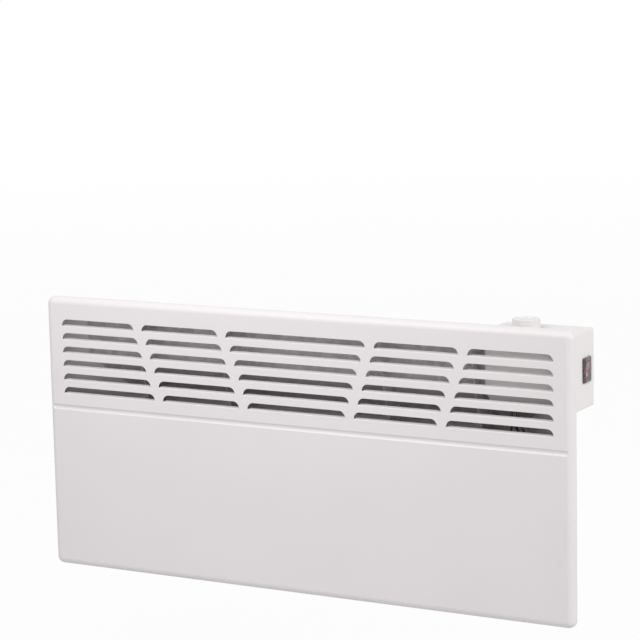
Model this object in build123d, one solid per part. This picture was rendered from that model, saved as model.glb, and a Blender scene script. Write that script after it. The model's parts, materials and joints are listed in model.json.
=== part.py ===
from build123d import *
import math
import os

# Wall panel convector heater, in millimetres. +Z is up, the wall is the plane Y = 0 and the
# front faces -Y. The origin is the middle of the wall bracket's screw pattern. "Depth" counts
# back from the front face towards the wall, and "height" counts up from the panel's lower edge.

# --- Driving sizes: the panel -------------------------------------------------------------
PANEL_WIDTH = 834.0
PANEL_HEIGHT = 402.0
FACE_TO_WALL = 100.0
SHEET = 1.0
CORNER_RADIUS = 11.0
EDGE_ROLL = 10.0
SKIRT_DEPTH = 12.0
LIP_WIDTH = 9.0
HALF_WIDTH = PANEL_WIDTH / 2

# --- Driving sizes: louvres and groove -----------------------------------------------------
LOUVRE_ROWS = 6
LOUVRE_PITCH = 20.0
LOUVRE_OPENING = 11.0
LOUVRE_CORNER = 9.5
LOUVRE_TOP = PANEL_HEIGHT - 32.2
LOUVRE_END = HALF_WIDTH - 27.5
STRIP_WIDTH = 13.5
STRIP_SLANT = 6.6
OUTER_STRIP_TOP = HALF_WIDTH - 158.7
INNER_STRIP_TOP = 117.7
BLADE_FOLD = 0.8
BLADE_FLAT = 6.0
BLADE_RISE = 14.0
BLADE_CORNER = 5.0
GROOVE_HEIGHT = PANEL_HEIGHT - 163.0
GROOVE_END = HALF_WIDTH - 6.0
GROOVE_WIDTH = 8.0
GROOVE_DEPTH = 1.8

# --- Driving sizes: casing ------------------------------------------------------------------
CASING_BACK = 80.0
CASING_INSET = 18.0
CASING_DRAFT = 22.0
CASING_SIDE_DRAFT = 77.0
CASING_CORNER = 14.0
CASING_FOLD = 4.0
FLANGE_INSET = 4.0
SCREW_INSET = 7.0
SCREW_END_INSET = 55.0
SCREW_BOX_GAP = 28.0
INLET_COUNT = 9
INLET_ROWS = 4
INLET_LENGTH = 62.0
INLET_WIDTH = 5.0
INLET_ROW_PITCH = 12.0
INLET_FIRST_DEPTH = 24.0
INLET_PITCH = (PANEL_WIDTH - 150.0) / INLET_COUNT
BEAD_LENGTH = 200.0
BEAD_WIDTH = 12.0
BEAD_DEPTH = 2.5
REAR_WALL = CASING_BACK - SHEET

# --- Driving sizes: wall bracket ------------------------------------------------------------
BOLT_SPACING_X = 400.0
BOLT_SPACING_Z = 180.0
BOLT_HOLE = 3.0
BRACKET_SHEET = 1.5
UPRIGHT_WIDTH = 30.0
UPRIGHT_LENGTH = 260.0
CROSSBAR_HEIGHT = 30.0
CROSSBAR_FOLD = 10.0
HOOK_REACH = 6.5
HOOK_LIP = 8.0
HOOK_NECK = 6.0
HOOK_SPACING = 210.0

# --- Driving sizes: control box --------------------------------------------------------------
BOX_WIDTH = 127.0
BOX_HEIGHT = 105.0
BOX_WALL = 2.2
BOX_LID = 2.5
BOX_EDGE = 2.0
BOX_SLOPE = 24.0
BOX_SLOPE_END = 22.0
BOSS_RADIUS = 4.0
BOSS_LENGTH = 22.0
BOSS_GAP = 4.0
PILOT_HOLE = 1.3
SCREW_HEAD = 2.8
BOX_RIGHT = HALF_WIDTH - 4.0
BOX_LEFT = BOX_RIGHT - BOX_WIDTH
BOX_TOP = PANEL_HEIGHT - 7.0
BOX_BOTTOM = BOX_TOP - BOX_HEIGHT
BOX_FRONT = SKIRT_DEPTH + SHEET + 0.3
LID_FRONT = CASING_BACK - BOX_LID

# --- Driving sizes: thermostat ---------------------------------------------------------------
KNOB_X = BOX_RIGHT - 80.0
KNOB_DEPTH = 41.0
KNOB_RADIUS = 19.0
KNOB_HEIGHT = 13.5
KNOB_TAPER = 0.7
KNOB_WALL = 1.8
KNOB_DISH = 1.8
KNOB_DISH_RADIUS = 15.5
KNOB_EDGE = 0.7
KNOB_GAP = 0.5
KNOB_ROOF = KNOB_HEIGHT - KNOB_DISH - KNOB_WALL
SHAFT_RADIUS = 3.0
SHAFT_FLAT = 1.5
THERMOSTAT_WIDTH = 36.0
THERMOSTAT_THICKNESS = 27.0
THERMOSTAT_LENGTH = 24.0
THERMOSTAT_PLATE = 1.5
THERMOSTAT_BORE = 12.0
THERMOSTAT_SCREW_SPACING = 28.0
THERMOSTAT_SCREW = 1.9
THERMOSTAT_TAB_DEPTH = 6.0
THERMOSTAT_TAB_DROP = 16.0
THERMOSTAT_TOP = BOX_TOP - BOX_WALL
THERMOSTAT_LOW = THERMOSTAT_TOP - THERMOSTAT_LENGTH

# --- Driving sizes: switch -------------------------------------------------------------------
SWITCH_DEPTH = 55.5
SWITCH_HEIGHT = BOX_BOTTOM + 52.0
COVER_WIDTH = 29.0
COVER_HEIGHT = 36.0
COVER_STAND = 5.5
COVER_WALL = 0.9
COVER_CORNER = 4.0
BEZEL_STAND = 1.6
SWITCH_BODY_WIDTH = 21.4
SWITCH_BODY_HEIGHT = 28.6
SWITCH_BODY_LENGTH = 20.0
SWITCH_TAB_DROP = 8.0
ROCKER_WIDTH = 15.6
ROCKER_REACH = 12.0
ROCKER_FRONT = 4.4
ROCKER_DIP = 1.2
ROCKER_BACK = 3.0
ROCKER_TILT = 8.0
AXLE_LENGTH = 1.2
PIVOT_RADIUS = 1.5
PIVOT_INSET = 2.5
PIVOT_X = BOX_RIGHT - PIVOT_INSET

# --- Driving sizes: heating element ----------------------------------------------------------
ELEMENT_HEIGHT = 150.0
ELEMENT_DEPTH = 46.0
ELEMENT_BRACKET_X = HALF_WIDTH - 150.0
RIB_X = 127.5
PLATE = 1.2
PLATE_FLANGE = 4.5
PLATE_FOOT = 13.0
ROD_RADIUS = 4.0
ROD_OVERHANG = 26.0
PIN_RADIUS = 1.6
PIN_LENGTH = 5.0
FIN_CORE_RADIUS = 8.0
WING_ANGLE = 57.0
WING_LENGTH = 30.0
WING_THICKNESS = 2.2
SIDE_FIN_LENGTH = 9.0
SIDE_FIN_THICKNESS = 1.4
SIDE_FIN_PITCH = 6.0
SIDE_FIN_COUNT = 3
BUSH_RADIUS = 8.0
BUSH_LENGTH = 8.0
BUSH_FLANGE = 10.5
BUSH_FLANGE_THICKNESS = 2.0
TAB_WIDTH = 6.3
TAB_THICKNESS = 0.8
TAB_LENGTH = 8.0
FERRULE_RADIUS = 2.6
FERRULE_LENGTH = 4.0

# --- Driving sizes: air deflector ------------------------------------------------------------
DEFLECTOR_DEPTH = 37.0
DEFLECTOR_KNEE = PANEL_HEIGHT - 90.0
DEFLECTOR_FOOT = PANEL_HEIGHT - 140.0
DEFLECTOR_FLANGE = 12.0
DEFLECTOR_END = 384.0
KNEE_BEND = 6.0
FOOT_BEND = 3.0
PLATE_TOP = DEFLECTOR_KNEE + 55.0
PLATE_TOP_DEPTH = 6.0
PLATE_SHOULDER = DEFLECTOR_FOOT + 10.0
PLATE_DEPTH = 29.0

# --- Driving sizes: overheat cutout, room sensor and earth screw -------------------------------
CUTOUT_DEPTH = 56.0
CUTOUT_HEIGHT = DEFLECTOR_FOOT - 36.0
CUTOUT_RADIUS = 8.0
CUTOUT_CAP = 4.0
CUTOUT_LENGTH = 11.0
CUTOUT_TAB_DEPTH = 4.0
BULB_X = HALF_WIDTH - 117.0
BULB_DEPTH = 62.0
BULB_BOTTOM = 66.0
BULB_RADIUS = 3.0
BULB_LENGTH = 60.0
BULB_TOP = BULB_BOTTOM + BULB_LENGTH
EARTH_X = BULB_X
EARTH_HEIGHT = BOX_BOTTOM - 90.0
EARTH_WASHER = 0.8
EARTH_WASHER_RADIUS = 5.0

# --- Driving sizes: mains inlet and wiring ------------------------------------------------------
GLAND_X = BOX_RIGHT - 40.0
GLAND_DEPTH = 57.0
GLAND_BORE = 4.5
GLAND_RADIUS = 7.8
GLAND_LENGTH = 16.0
GLAND_HEX = 10.0
GLAND_HEX_HEIGHT = 5.0
NUT_THICKNESS = 4.0
BLOCK_POLES = 3
POLE_PITCH = 10.0
BLOCK_X = BOX_LEFT + 28.0
BLOCK_HEIGHT = BOX_BOTTOM + 35.0
BLOCK_DEPTH = 17.0
BLOCK_TALL = 20.0
POLE_DEPTH = 7.0
POLE_HOLE = 2.4
CLAMP_WELL = 2.2
CLAMP_LEVELS = (5.0, 15.0)
LEAD_RADIUS = 1.4
LEAD_PITCH = 3.4
LEAD_WAYS = 4
CAPILLARY_RADIUS = 0.8
GROMMET_X = BOX_LEFT + 28.0
GROMMET_DEPTH = 46.0
GROMMET_LIP = 1.6
GROMMET_OVERLAP = 2.2
NEUTRAL_X = BULB_X + 13.0
NEUTRAL_HEIGHT = 70.0

# --- Fits ------------------------------------------------------------------------------------
CLEAR = 0.3
RUNNING = 0.06
SNUG = 0.1


# --- Helpers ---------------------------------------------------------------------------------
def back(depth):
    """Y of a point that lies this far behind the front face."""
    return depth - FACE_TO_WALL


def up(height):
    """Z of a point that lies this far above the panel's lower edge."""
    return height - PANEL_HEIGHT / 2


def on_side(depth, height):
    """The point (Y, Z) of a depth and a height, for outlines drawn on the YZ plane."""
    return back(depth), up(height)


def moved(point, x=0.0, depth=0.0, height=0.0):
    """An (x, depth, height) point shifted from another one."""
    return point[0] + x, point[1] + depth, point[2] + height


def block(x0, x1, depth0, depth1, height0, height1):
    """Box between two X values, two depths and two heights."""
    size = Box(x1 - x0, depth1 - depth0, height1 - height0)
    middle = ((x0 + x1) / 2, back((depth0 + depth1) / 2), up((height0 + height1) / 2))
    return Pos(*middle) * size


def bar_x(radius, x0, x1, depth, height):
    """Round bar along X."""
    return Pos((x0 + x1) / 2, back(depth), up(height)) * Rot(0, 90, 0) * Cylinder(radius, x1 - x0)


def bar_y(radius, depth0, depth1, x, height):
    """Round bar along Y."""
    return Pos(x, back((depth0 + depth1) / 2), up(height)) * Rot(90, 0, 0) * Cylinder(radius, depth1 - depth0)


def bar_z(radius, height0, height1, x, depth):
    """Round bar along Z."""
    return Pos(x, back(depth), up((height0 + height1) / 2)) * Cylinder(radius, height1 - height0)


def plate_x(outline, x0, x1):
    """Plate between two X values from a closed outline of (depth, height) points."""
    edge = Polyline(*[on_side(depth, height) for depth, height in outline], close=True)
    return Pos(x0, 0, 0) * extrude(Plane.YZ * make_face(edge), amount=x1 - x0)


def bent_sheet(thickness, x0, x1, points, bends):
    """Folded sheet between two X values along a centreline of (depth, height) points."""
    path = FilletPolyline(*[on_side(depth, height) for depth, height in points], radius=bends)
    return Pos(x0, 0, 0) * extrude(Plane.YZ * trace(path, thickness), amount=x1 - x0)


def cross_recess(span, width, depth):
    """Cutter for a cross-head recess, centred on its own origin."""
    return Box(span, width, depth) + Box(width, span, depth)


def pan_screw(radius, length, head_radius, head_height):
    """Pan-head screw that points down -Z, with the head's seat at Z = 0."""
    shank = Pos(0, 0, -length / 2) * Cylinder(radius, length)
    head = Pos(0, 0, head_height / 2) * Cylinder(head_radius, head_height)
    rounded = fillet(head.edges().group_by(Axis.Z)[-1], head_height * 0.4)
    recess = Pos(0, 0, head_height) * cross_recess(head_radius * 1.1, 0.8, 1.4)
    return shank + rounded - recess


def pressed_bead(length, width, bead_depth, face, inwards, height, extra):
    """Round-ended bar along X whose inner part shapes a bead of this depth in a sheet's face."""
    radius = (width ** 2 / 4 + bead_depth ** 2) / (2 * bead_depth)
    depth = face + inwards * (bead_depth - radius)
    reach = (length - width) / 2
    bar = bar_x(radius + extra, -reach, reach, depth, height)
    for x in (-reach, reach):
        bar += Pos(x, back(depth), up(height)) * Sphere(radius + extra)
    return bar


# --- Front panel -----------------------------------------------------------------------------
def pressed_tray(inset, front_depth, rear_depth, corner, roll):
    """Solid with the panel's outline less an inset, its front edge rolled."""
    width = PANEL_WIDTH - 2 * inset
    height = PANEL_HEIGHT - 2 * inset
    depth = rear_depth - front_depth
    tray = Pos(0, back((front_depth + rear_depth) / 2), 0) * Box(width, depth, height)
    tray = fillet(tray.edges().filter_by(Axis.Y), corner)
    return fillet(tray.edges().group_by(Axis.Y)[0], roll)


def groove_bar(extra):
    """Bar whose rear part forms the pressed groove."""
    return pressed_bead(2 * GROOVE_END, GROOVE_WIDTH, GROOVE_DEPTH, 0, 1, GROOVE_HEIGHT, extra)


def louvre_spans(row):
    """Start and end of each opening along X in one row."""
    outer = OUTER_STRIP_TOP - STRIP_SLANT * row
    inner = INNER_STRIP_TOP - STRIP_SLANT * row
    half = STRIP_WIDTH / 2
    edges = [-LOUVRE_END]
    for strip in (-outer, -inner, inner, outer):
        edges += [strip - half, strip + half]
    edges.append(LOUVRE_END)
    return list(zip(edges[0::2], edges[1::2]))


def louvre_opening(x0, x1, sill):
    """Cutter for one opening: a straight sill and rounded upper corners."""
    cutter = block(x0, x1, -SHEET, 2 * SHEET, sill, sill + LOUVRE_OPENING)
    return fillet(cutter.edges().filter_by(Axis.Y).group_by(Axis.Z)[-1], LOUVRE_CORNER)


def louvre_blade(x0, x1, sill):
    """Flap folded inwards at the sill, rising to a free edge with rounded corners."""
    rise = math.radians(BLADE_RISE)
    fold = sill + BLADE_FOLD * math.tan((math.pi / 2 - rise) / 2)
    tip = (SHEET / 2 + BLADE_FLAT * math.cos(rise), fold + BLADE_FLAT * math.sin(rise))
    line = [(SHEET / 2, sill - SHEET), (SHEET / 2, fold), tip]
    flap = bent_sheet(SHEET, x0, x1, line, BLADE_FOLD)
    short_edges = flap.edges().filter_by(lambda edge: abs(edge.length - SHEET) < 0.001)
    return fillet(short_edges.group_by(Axis.Y)[-1], BLADE_CORNER)


def panel_screw_places():
    """(x, height) of each screw that holds the casing's flange to the panel's lip."""
    low = SCREW_INSET
    high = PANEL_HEIGHT - SCREW_INSET
    side = HALF_WIDTH - SCREW_INSET
    far = HALF_WIDTH - SCREW_END_INSET
    near = far / 3
    bottom = [(x, low) for x in (-far, -near, near, far)]
    top = [(x, high) for x in (-far, -near, near, BOX_LEFT - SCREW_BOX_GAP)]
    sides = [(x, PANEL_HEIGHT * 0.4) for x in (-side, side)]
    return bottom + top + sides


def front_panel():
    """Pressed front with skirt, return lip, groove, louvres and screw holes."""
    outer = pressed_tray(0, 0, SKIRT_DEPTH, CORNER_RADIUS, EDGE_ROLL)
    hollow_back = SKIRT_DEPTH - SHEET
    hollow = pressed_tray(SHEET, SHEET, hollow_back, CORNER_RADIUS - SHEET, EDGE_ROLL - SHEET)
    lip = SHEET + LIP_WIDTH
    mouth = block(-HALF_WIDTH + lip, HALF_WIDTH - lip, hollow_back - SHEET, SKIRT_DEPTH + SHEET, lip,
                  PANEL_HEIGHT - lip)
    panel = outer - groove_bar(0) - (hollow - groove_bar(SHEET)) - mouth
    cutters = []
    blades = []
    for row in range(LOUVRE_ROWS):
        sill = LOUVRE_TOP - LOUVRE_OPENING - row * LOUVRE_PITCH
        for x0, x1 in louvre_spans(row):
            cutters.append(louvre_opening(x0, x1, sill))
            blades.append(louvre_blade(x0, x1, sill))
    for x, height in panel_screw_places():
        cutters.append(bar_y(PILOT_HOLE, hollow_back - SHEET, SKIRT_DEPTH + SHEET, x, height))
    panel = panel - cutters
    return panel + blades


def panel_screws():
    """Self-tapping screws, driven from the rear through the casing's flange."""
    seat = back(SKIRT_DEPTH + SHEET)
    screw = pan_screw(PILOT_HOLE - SNUG, 2 * SHEET + 1.5, 3.4, 2.0)
    return [Pos(x, seat, up(height)) * Rot(-90, 0, 0) * screw for x, height in panel_screw_places()]


# --- Casing ----------------------------------------------------------------------------------
def drafted_block(inset, rear_depth):
    """Solid that narrows from the casing's mouth to its back."""
    mouth_width = PANEL_WIDTH - 2 * (CASING_INSET + inset)
    mouth_height = PANEL_HEIGHT - 2 * (CASING_INSET + inset)
    corner = CASING_CORNER - inset
    front = RectangleRounded(mouth_width, mouth_height, corner)
    rear = RectangleRounded(mouth_width - 2 * CASING_SIDE_DRAFT, mouth_height - 2 * CASING_DRAFT, corner)
    plane_front = Plane(origin=(0, back(SKIRT_DEPTH), 0), x_dir=(1, 0, 0), z_dir=(0, -1, 0))
    plane_rear = Plane(origin=(0, back(rear_depth), 0), x_dir=(1, 0, 0), z_dir=(0, -1, 0))
    solid = loft([plane_front * front, plane_rear * rear], ruled=True)
    return fillet(solid.edges().group_by(Axis.Y)[-1], CASING_FOLD - inset)


def box_slope(gap):
    """Space under the box's sloping lower front edge, this far outside the box's skin."""
    size = BOX_SLOPE - gap * math.sqrt(2)
    over = BOX_WALL + SHEET
    outline = [(BOX_FRONT - over, BOX_BOTTOM - over), (BOX_FRONT + size + over, BOX_BOTTOM - over),
               (BOX_FRONT - over, BOX_BOTTOM + size + over)]
    return plate_x(outline, BOX_LEFT - over, BOX_RIGHT - BOX_SLOPE_END - gap)


def box_recess(gap):
    """Space that the control box takes out of the casing's upper right corner."""
    front = SKIRT_DEPTH + SHEET
    recess = block(BOX_LEFT - gap, HALF_WIDTH, front, FACE_TO_WALL, BOX_BOTTOM - gap, PANEL_HEIGHT)
    return recess - box_slope(gap)


def casing_inlets():
    """Air slots in the lower sloping wall."""
    first = -INLET_PITCH * (INLET_COUNT - 1) / 2
    cutters = []
    for row in range(INLET_ROWS):
        depth = INLET_FIRST_DEPTH + row * INLET_ROW_PITCH
        for column in range(INLET_COUNT):
            x = first + column * INLET_PITCH
            slot = block(x - INLET_LENGTH / 2, x + INLET_LENGTH / 2, depth, depth + INLET_WIDTH, 0,
                         CASING_INSET + 2 * CASING_DRAFT)
            cutters.append(fillet(slot.edges().filter_by(Axis.Z), INLET_WIDTH * 0.48))
    return cutters


def casing_beads(extra):
    """Bars that form the stiffening beads in the back wall, below and above the element."""
    levels = (ELEMENT_HEIGHT - 40.0, DEFLECTOR_FOOT + 38.0)
    return [pressed_bead(BEAD_LENGTH, BEAD_WIDTH, BEAD_DEPTH, CASING_BACK, -1, height, extra)
            for height in levels]


def hook_sites():
    """(x, height) of each hook's seat on the wall bracket."""
    sites = []
    for side in (-1, 1):
        for flank in (-1, 1):
            x = side * BOLT_SPACING_X / 2 + flank * (UPRIGHT_WIDTH - BRACKET_SHEET) / 2
            for level in (-1, 1):
                sites.append((x, PANEL_HEIGHT / 2 + level * HOOK_SPACING / 2))
    return sites


def hook_slots():
    """Slots in the casing's back wall that drop over the hooks."""
    half = BRACKET_SHEET / 2 + 2 * CLEAR
    cutters = []
    for x, height in hook_sites():
        low = height - HOOK_NECK - HOOK_LIP - 2.0
        cutters.append(block(x - half, x + half, REAR_WALL - SHEET, CASING_BACK + SHEET, low, height + CLEAR))
    return cutters


def grommet_slot(extra):
    """Upright slot through the box's floor and the casing under it."""
    half = LEAD_WAYS * LEAD_PITCH / 2 + 2.0
    radius = LEAD_RADIUS + 2.0
    reach = BOX_WALL + 2 * GROMMET_LIP + SHEET
    slot = block(GROMMET_X - half, GROMMET_X + half, GROMMET_DEPTH - radius, GROMMET_DEPTH + radius,
                 BOX_BOTTOM - reach, BOX_BOTTOM + reach)
    slot = fillet(slot.edges().filter_by(Axis.Z), radius * 0.98)
    return slot if extra == 0 else offset(slot, extra)


def housing_screw_places():
    """(depth, height) of the screws between the control box and the casing."""
    return [(30.0, BOX_TOP - 32.0), (62.0, BOX_BOTTOM + 18.0)]


def rear_casing():
    """Pressed tray with a screw flange, recess for the control box, air inlets and hook slots."""
    outer = drafted_block(0, CASING_BACK) - box_recess(CLEAR) - casing_beads(0)
    inner = drafted_block(SHEET, REAR_WALL) - box_recess(CLEAR + SHEET) - casing_beads(SHEET)
    half_width = HALF_WIDTH - FLANGE_INSET
    flange = block(-half_width, half_width, SKIRT_DEPTH, SKIRT_DEPTH + SHEET, FLANGE_INSET,
                   PANEL_HEIGHT - FLANGE_INSET)
    flange = fillet(flange.edges().filter_by(Axis.Y), CORNER_RADIUS - FLANGE_INSET)
    cutters = casing_inlets() + hook_slots() + [grommet_slot(CLEAR)]
    for x, height in panel_screw_places():
        cutters.append(bar_y(PILOT_HOLE + 0.4, SKIRT_DEPTH - SHEET, SKIRT_DEPTH + 2 * SHEET, x, height))
    for depth, height in housing_screw_places():
        cutters.append(bar_x(PILOT_HOLE, BOX_LEFT - 4 * SHEET, BOX_LEFT, depth, height))
    cutters.append(bar_y(PILOT_HOLE, REAR_WALL - SHEET, CASING_BACK + SHEET, EARTH_X, EARTH_HEIGHT))
    casing = outer + flange - inner
    return casing - cutters


# --- Wall bracket ----------------------------------------------------------------------------
def hook(x, height):
    """Hook plate: a neck through the casing's slot and an upturned lip behind its wall."""
    half = BRACKET_SHEET / 2
    tip = CASING_BACK - HOOK_REACH
    neck = block(x - half, x + half, tip, CASING_BACK + CLEAR + SHEET, height - HOOK_NECK, height)
    lip = block(x - half, x + half, tip, REAR_WALL - CLEAR, height - SHEET, height + HOOK_LIP)
    return neck + fillet(lip.edges().filter_by(Axis.X).group_by(Axis.Z)[-1], 1.8)


def bracket_upright(side):
    """U channel screwed to the wall, with a hook at the top and the bottom of each flank."""
    x = side * BOLT_SPACING_X / 2
    middle = PANEL_HEIGHT / 2
    low = middle - UPRIGHT_LENGTH / 2
    high = middle + UPRIGHT_LENGTH / 2
    left = x - UPRIGHT_WIDTH / 2
    right = x + UPRIGHT_WIDTH / 2
    front = CASING_BACK + CLEAR
    channel = block(left, right, front, FACE_TO_WALL, low, high)
    channel -= block(left + BRACKET_SHEET, right - BRACKET_SHEET, front - 1.0, FACE_TO_WALL - BRACKET_SHEET,
                     low - 1.0, high + 1.0)
    for site_x, height in hook_sites():
        if left < site_x < right:
            channel += hook(site_x, height)
    for level in (-1, 1):
        height = middle + level * BOLT_SPACING_Z / 2
        channel -= bar_y(BOLT_HOLE, FACE_TO_WALL - 2 * BRACKET_SHEET, FACE_TO_WALL + 1.0, x, height)
    return channel


def bracket_crossbar():
    """Folded bar welded between the uprights."""
    end = (BOLT_SPACING_X - UPRIGHT_WIDTH) / 2
    low = (PANEL_HEIGHT - CROSSBAR_HEIGHT) / 2
    high = (PANEL_HEIGHT + CROSSBAR_HEIGHT) / 2
    bar = block(-end, end, FACE_TO_WALL - BRACKET_SHEET, FACE_TO_WALL, low, high)
    for edge in (low, high - BRACKET_SHEET):
        bar += block(-end, end, FACE_TO_WALL - CROSSBAR_FOLD, FACE_TO_WALL, edge, edge + BRACKET_SHEET)
    return bar


# --- Air deflector and the plates that carry it ------------------------------------------------
def deflector_line():
    """(depth, height) corners of the deflector's centreline, from the casing's top to its back."""
    front = DEFLECTOR_DEPTH + SHEET / 2
    rear = REAR_WALL - SHEET / 2
    return [(front, PANEL_HEIGHT - CASING_INSET), (front, DEFLECTOR_KNEE), (rear, DEFLECTOR_FOOT),
            (rear, DEFLECTOR_FOOT - DEFLECTOR_FLANGE)]


def deflector_band(thickness, half_length):
    """The deflector's folded section along X, this thick about its centreline."""
    return bent_sheet(thickness, -half_length, half_length, deflector_line(), [KNEE_BEND, FOOT_BEND])


def air_deflector():
    """Sheet from the casing's top wall down and back to its rear wall, trimmed to casing and box."""
    casing_inside = drafted_block(SHEET + CLEAR, REAR_WALL)
    return (deflector_band(SHEET, DEFLECTOR_END) & casing_inside) - box_recess(CLEAR + SHEET + CLEAR)


def deflector_plate(x, front_low):
    """Upright plate under the deflector, with a folded front edge and foot.

    front_low lists the front edge's points below the shoulder and ends at the rear wall.
    """
    flange_low = DEFLECTOR_FOOT - DEFLECTOR_FLANGE - CLEAR
    line = deflector_line()
    outline = [(PLATE_TOP_DEPTH, PLATE_TOP), (PLATE_DEPTH, PLATE_SHOULDER)] + front_low
    outline += [(REAR_WALL, flange_low), (line[2][0], flange_low), line[2], line[1]]
    outline.append((line[1][0], PLATE_TOP))
    left = x - PLATE / 2
    plate = plate_x(outline, left, left + PLATE) - deflector_band(SHEET + 2 * SNUG, HALF_WIDTH)
    low = front_low[-1][1]
    foot_top = flange_low - 8.0
    foot = block(left, left + PLATE_FOOT, REAR_WALL - PLATE, REAR_WALL, low, foot_top)
    flange = block(left, left + PLATE + PLATE_FLANGE, PLATE_DEPTH, PLATE_DEPTH + PLATE,
                   foot_top - 20.0, PLATE_SHOULDER)
    return plate + foot + flange


def deflector_ribs():
    """Two plates over the element, between the brackets."""
    low = ELEMENT_HEIGHT + WING_LENGTH + 12.0
    return [deflector_plate(side * RIB_X, [(PLATE_DEPTH, low), (REAR_WALL, low)]) for side in (-1, 1)]


def element_bracket(side):
    """End plate that holds the rod's bush and carries the deflector's end."""
    x = side * ELEMENT_BRACKET_X
    low = ELEMENT_HEIGHT - 58.0
    front = ELEMENT_DEPTH - 24.0
    front_low = [(PLATE_DEPTH, ELEMENT_HEIGHT + 56.0), (front, ELEMENT_HEIGHT + 42.0),
                 (front, ELEMENT_HEIGHT - 34.0), (front + 16.0, low), (REAR_WALL, low)]
    plate = deflector_plate(x, front_low)
    return plate - bar_x(BUSH_RADIUS + SNUG, x - PLATE, x + PLATE, ELEMENT_DEPTH, ELEMENT_HEIGHT)


# --- Heating element ---------------------------------------------------------------------------
def element_fins():
    """Extruded body: a bored core with four diagonal wings, each with cross fins."""
    end = ELEMENT_BRACKET_X - PLATE / 2 - BUSH_FLANGE_THICKNESS - SNUG
    section = Circle(FIN_CORE_RADIUS)
    for angle in (WING_ANGLE, 180 - WING_ANGLE, 180 + WING_ANGLE, -WING_ANGLE):
        turn = Rot(0, 0, angle)
        section += turn * Pos(WING_LENGTH / 2, 0) * Rectangle(WING_LENGTH, WING_THICKNESS)
        for number in range(SIDE_FIN_COUNT):
            reach = WING_LENGTH - SIDE_FIN_THICKNESS / 2 - number * SIDE_FIN_PITCH
            section += turn * Pos(reach, 0) * Rectangle(SIDE_FIN_THICKNESS, SIDE_FIN_LENGTH)
    section -= Circle(ROD_RADIUS + SNUG)
    body = extrude(Plane.YZ * section, amount=2 * end)
    return Pos(-end, back(ELEMENT_DEPTH), up(ELEMENT_HEIGHT)) * body


def heating_rod():
    """Round heater with a terminal pin at each end."""
    end = ELEMENT_BRACKET_X + ROD_OVERHANG
    rod = bar_x(ROD_RADIUS, -end, end, ELEMENT_DEPTH, ELEMENT_HEIGHT)
    return rod + bar_x(PIN_RADIUS, -end - PIN_LENGTH, end + PIN_LENGTH, ELEMENT_DEPTH, ELEMENT_HEIGHT)


def element_bush(side):
    """Ceramic bush in an end plate, with a flange on the inner face."""
    inner = ELEMENT_BRACKET_X - PLATE / 2
    body = bar_x(BUSH_RADIUS, inner, inner + BUSH_LENGTH, ELEMENT_DEPTH, ELEMENT_HEIGHT)
    body += bar_x(BUSH_FLANGE, inner - BUSH_FLANGE_THICKNESS, inner, ELEMENT_DEPTH, ELEMENT_HEIGHT)
    bore_end = inner + BUSH_LENGTH + 1.0
    bore = bar_x(ROD_RADIUS + SNUG, inner - BUSH_LENGTH, bore_end, ELEMENT_DEPTH, ELEMENT_HEIGHT)
    bush = body - bore
    return bush if side > 0 else mirror(bush, about=Plane.YZ)


def rod_terminal(side):
    """Blade tab with a ferrule clamped on a terminal pin."""
    start = ELEMENT_BRACKET_X + ROD_OVERHANG + SNUG
    ring_end = start + FERRULE_LENGTH
    half = TAB_WIDTH / 2
    seat = ELEMENT_HEIGHT + PIN_RADIUS + SNUG
    ring = bar_x(FERRULE_RADIUS, start, ring_end, ELEMENT_DEPTH, ELEMENT_HEIGHT)
    pin_end = start + PIN_LENGTH - SNUG
    ring -= bar_x(PIN_RADIUS + SNUG / 2, start - 1.0, pin_end, ELEMENT_DEPTH, ELEMENT_HEIGHT)
    tab = block(ring_end - 1.0, ring_end + TAB_LENGTH, ELEMENT_DEPTH - half, ELEMENT_DEPTH + half, seat,
                seat + TAB_THICKNESS)
    terminal = ring + tab
    return terminal if side > 0 else mirror(terminal, about=Plane.YZ)


# --- Overheat cutout on the right element bracket ------------------------------------------------
def thermal_cutout():
    """Disc thermostat: metal cap on the plate, moulded body, two blade tabs."""
    seat = ELEMENT_BRACKET_X + PLATE / 2
    end = seat + CUTOUT_LENGTH
    body = bar_x(CUTOUT_RADIUS, seat, seat + CUTOUT_CAP, CUTOUT_DEPTH, CUTOUT_HEIGHT)
    body += bar_x(CUTOUT_RADIUS - 1.0, seat + 1.0, end, CUTOUT_DEPTH, CUTOUT_HEIGHT)
    for side in (-1, 1):
        depth = CUTOUT_DEPTH + side * CUTOUT_TAB_DEPTH
        body += block(end - 1.0, end + TAB_LENGTH, depth - TAB_THICKNESS / 2, depth + TAB_THICKNESS / 2,
                      CUTOUT_HEIGHT - TAB_WIDTH / 2, CUTOUT_HEIGHT + TAB_WIDTH / 2)
    return body


def cutout_clip():
    """Pressed ring over the cap's rim, with two ears riveted to the plate."""
    seat = ELEMENT_BRACKET_X + PLATE / 2
    reach = CUTOUT_RADIUS + 8.0
    rim = CUTOUT_RADIUS + SNUG + PLATE
    half = CUTOUT_RADIUS / 2
    clip = block(seat, seat + TAB_THICKNESS, CUTOUT_DEPTH - half, CUTOUT_DEPTH + half, CUTOUT_HEIGHT - reach,
                 CUTOUT_HEIGHT + reach)
    clip += bar_x(rim, seat, seat + CUTOUT_CAP + 1.0, CUTOUT_DEPTH, CUTOUT_HEIGHT)
    clip -= bar_x(CUTOUT_RADIUS + SNUG, seat - 1.0, seat + CUTOUT_CAP + SNUG, CUTOUT_DEPTH, CUTOUT_HEIGHT)
    return clip - bar_x(CUTOUT_RADIUS - 1.0 + SNUG, seat, seat + CUTOUT_LENGTH, CUTOUT_DEPTH, CUTOUT_HEIGHT)


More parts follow.
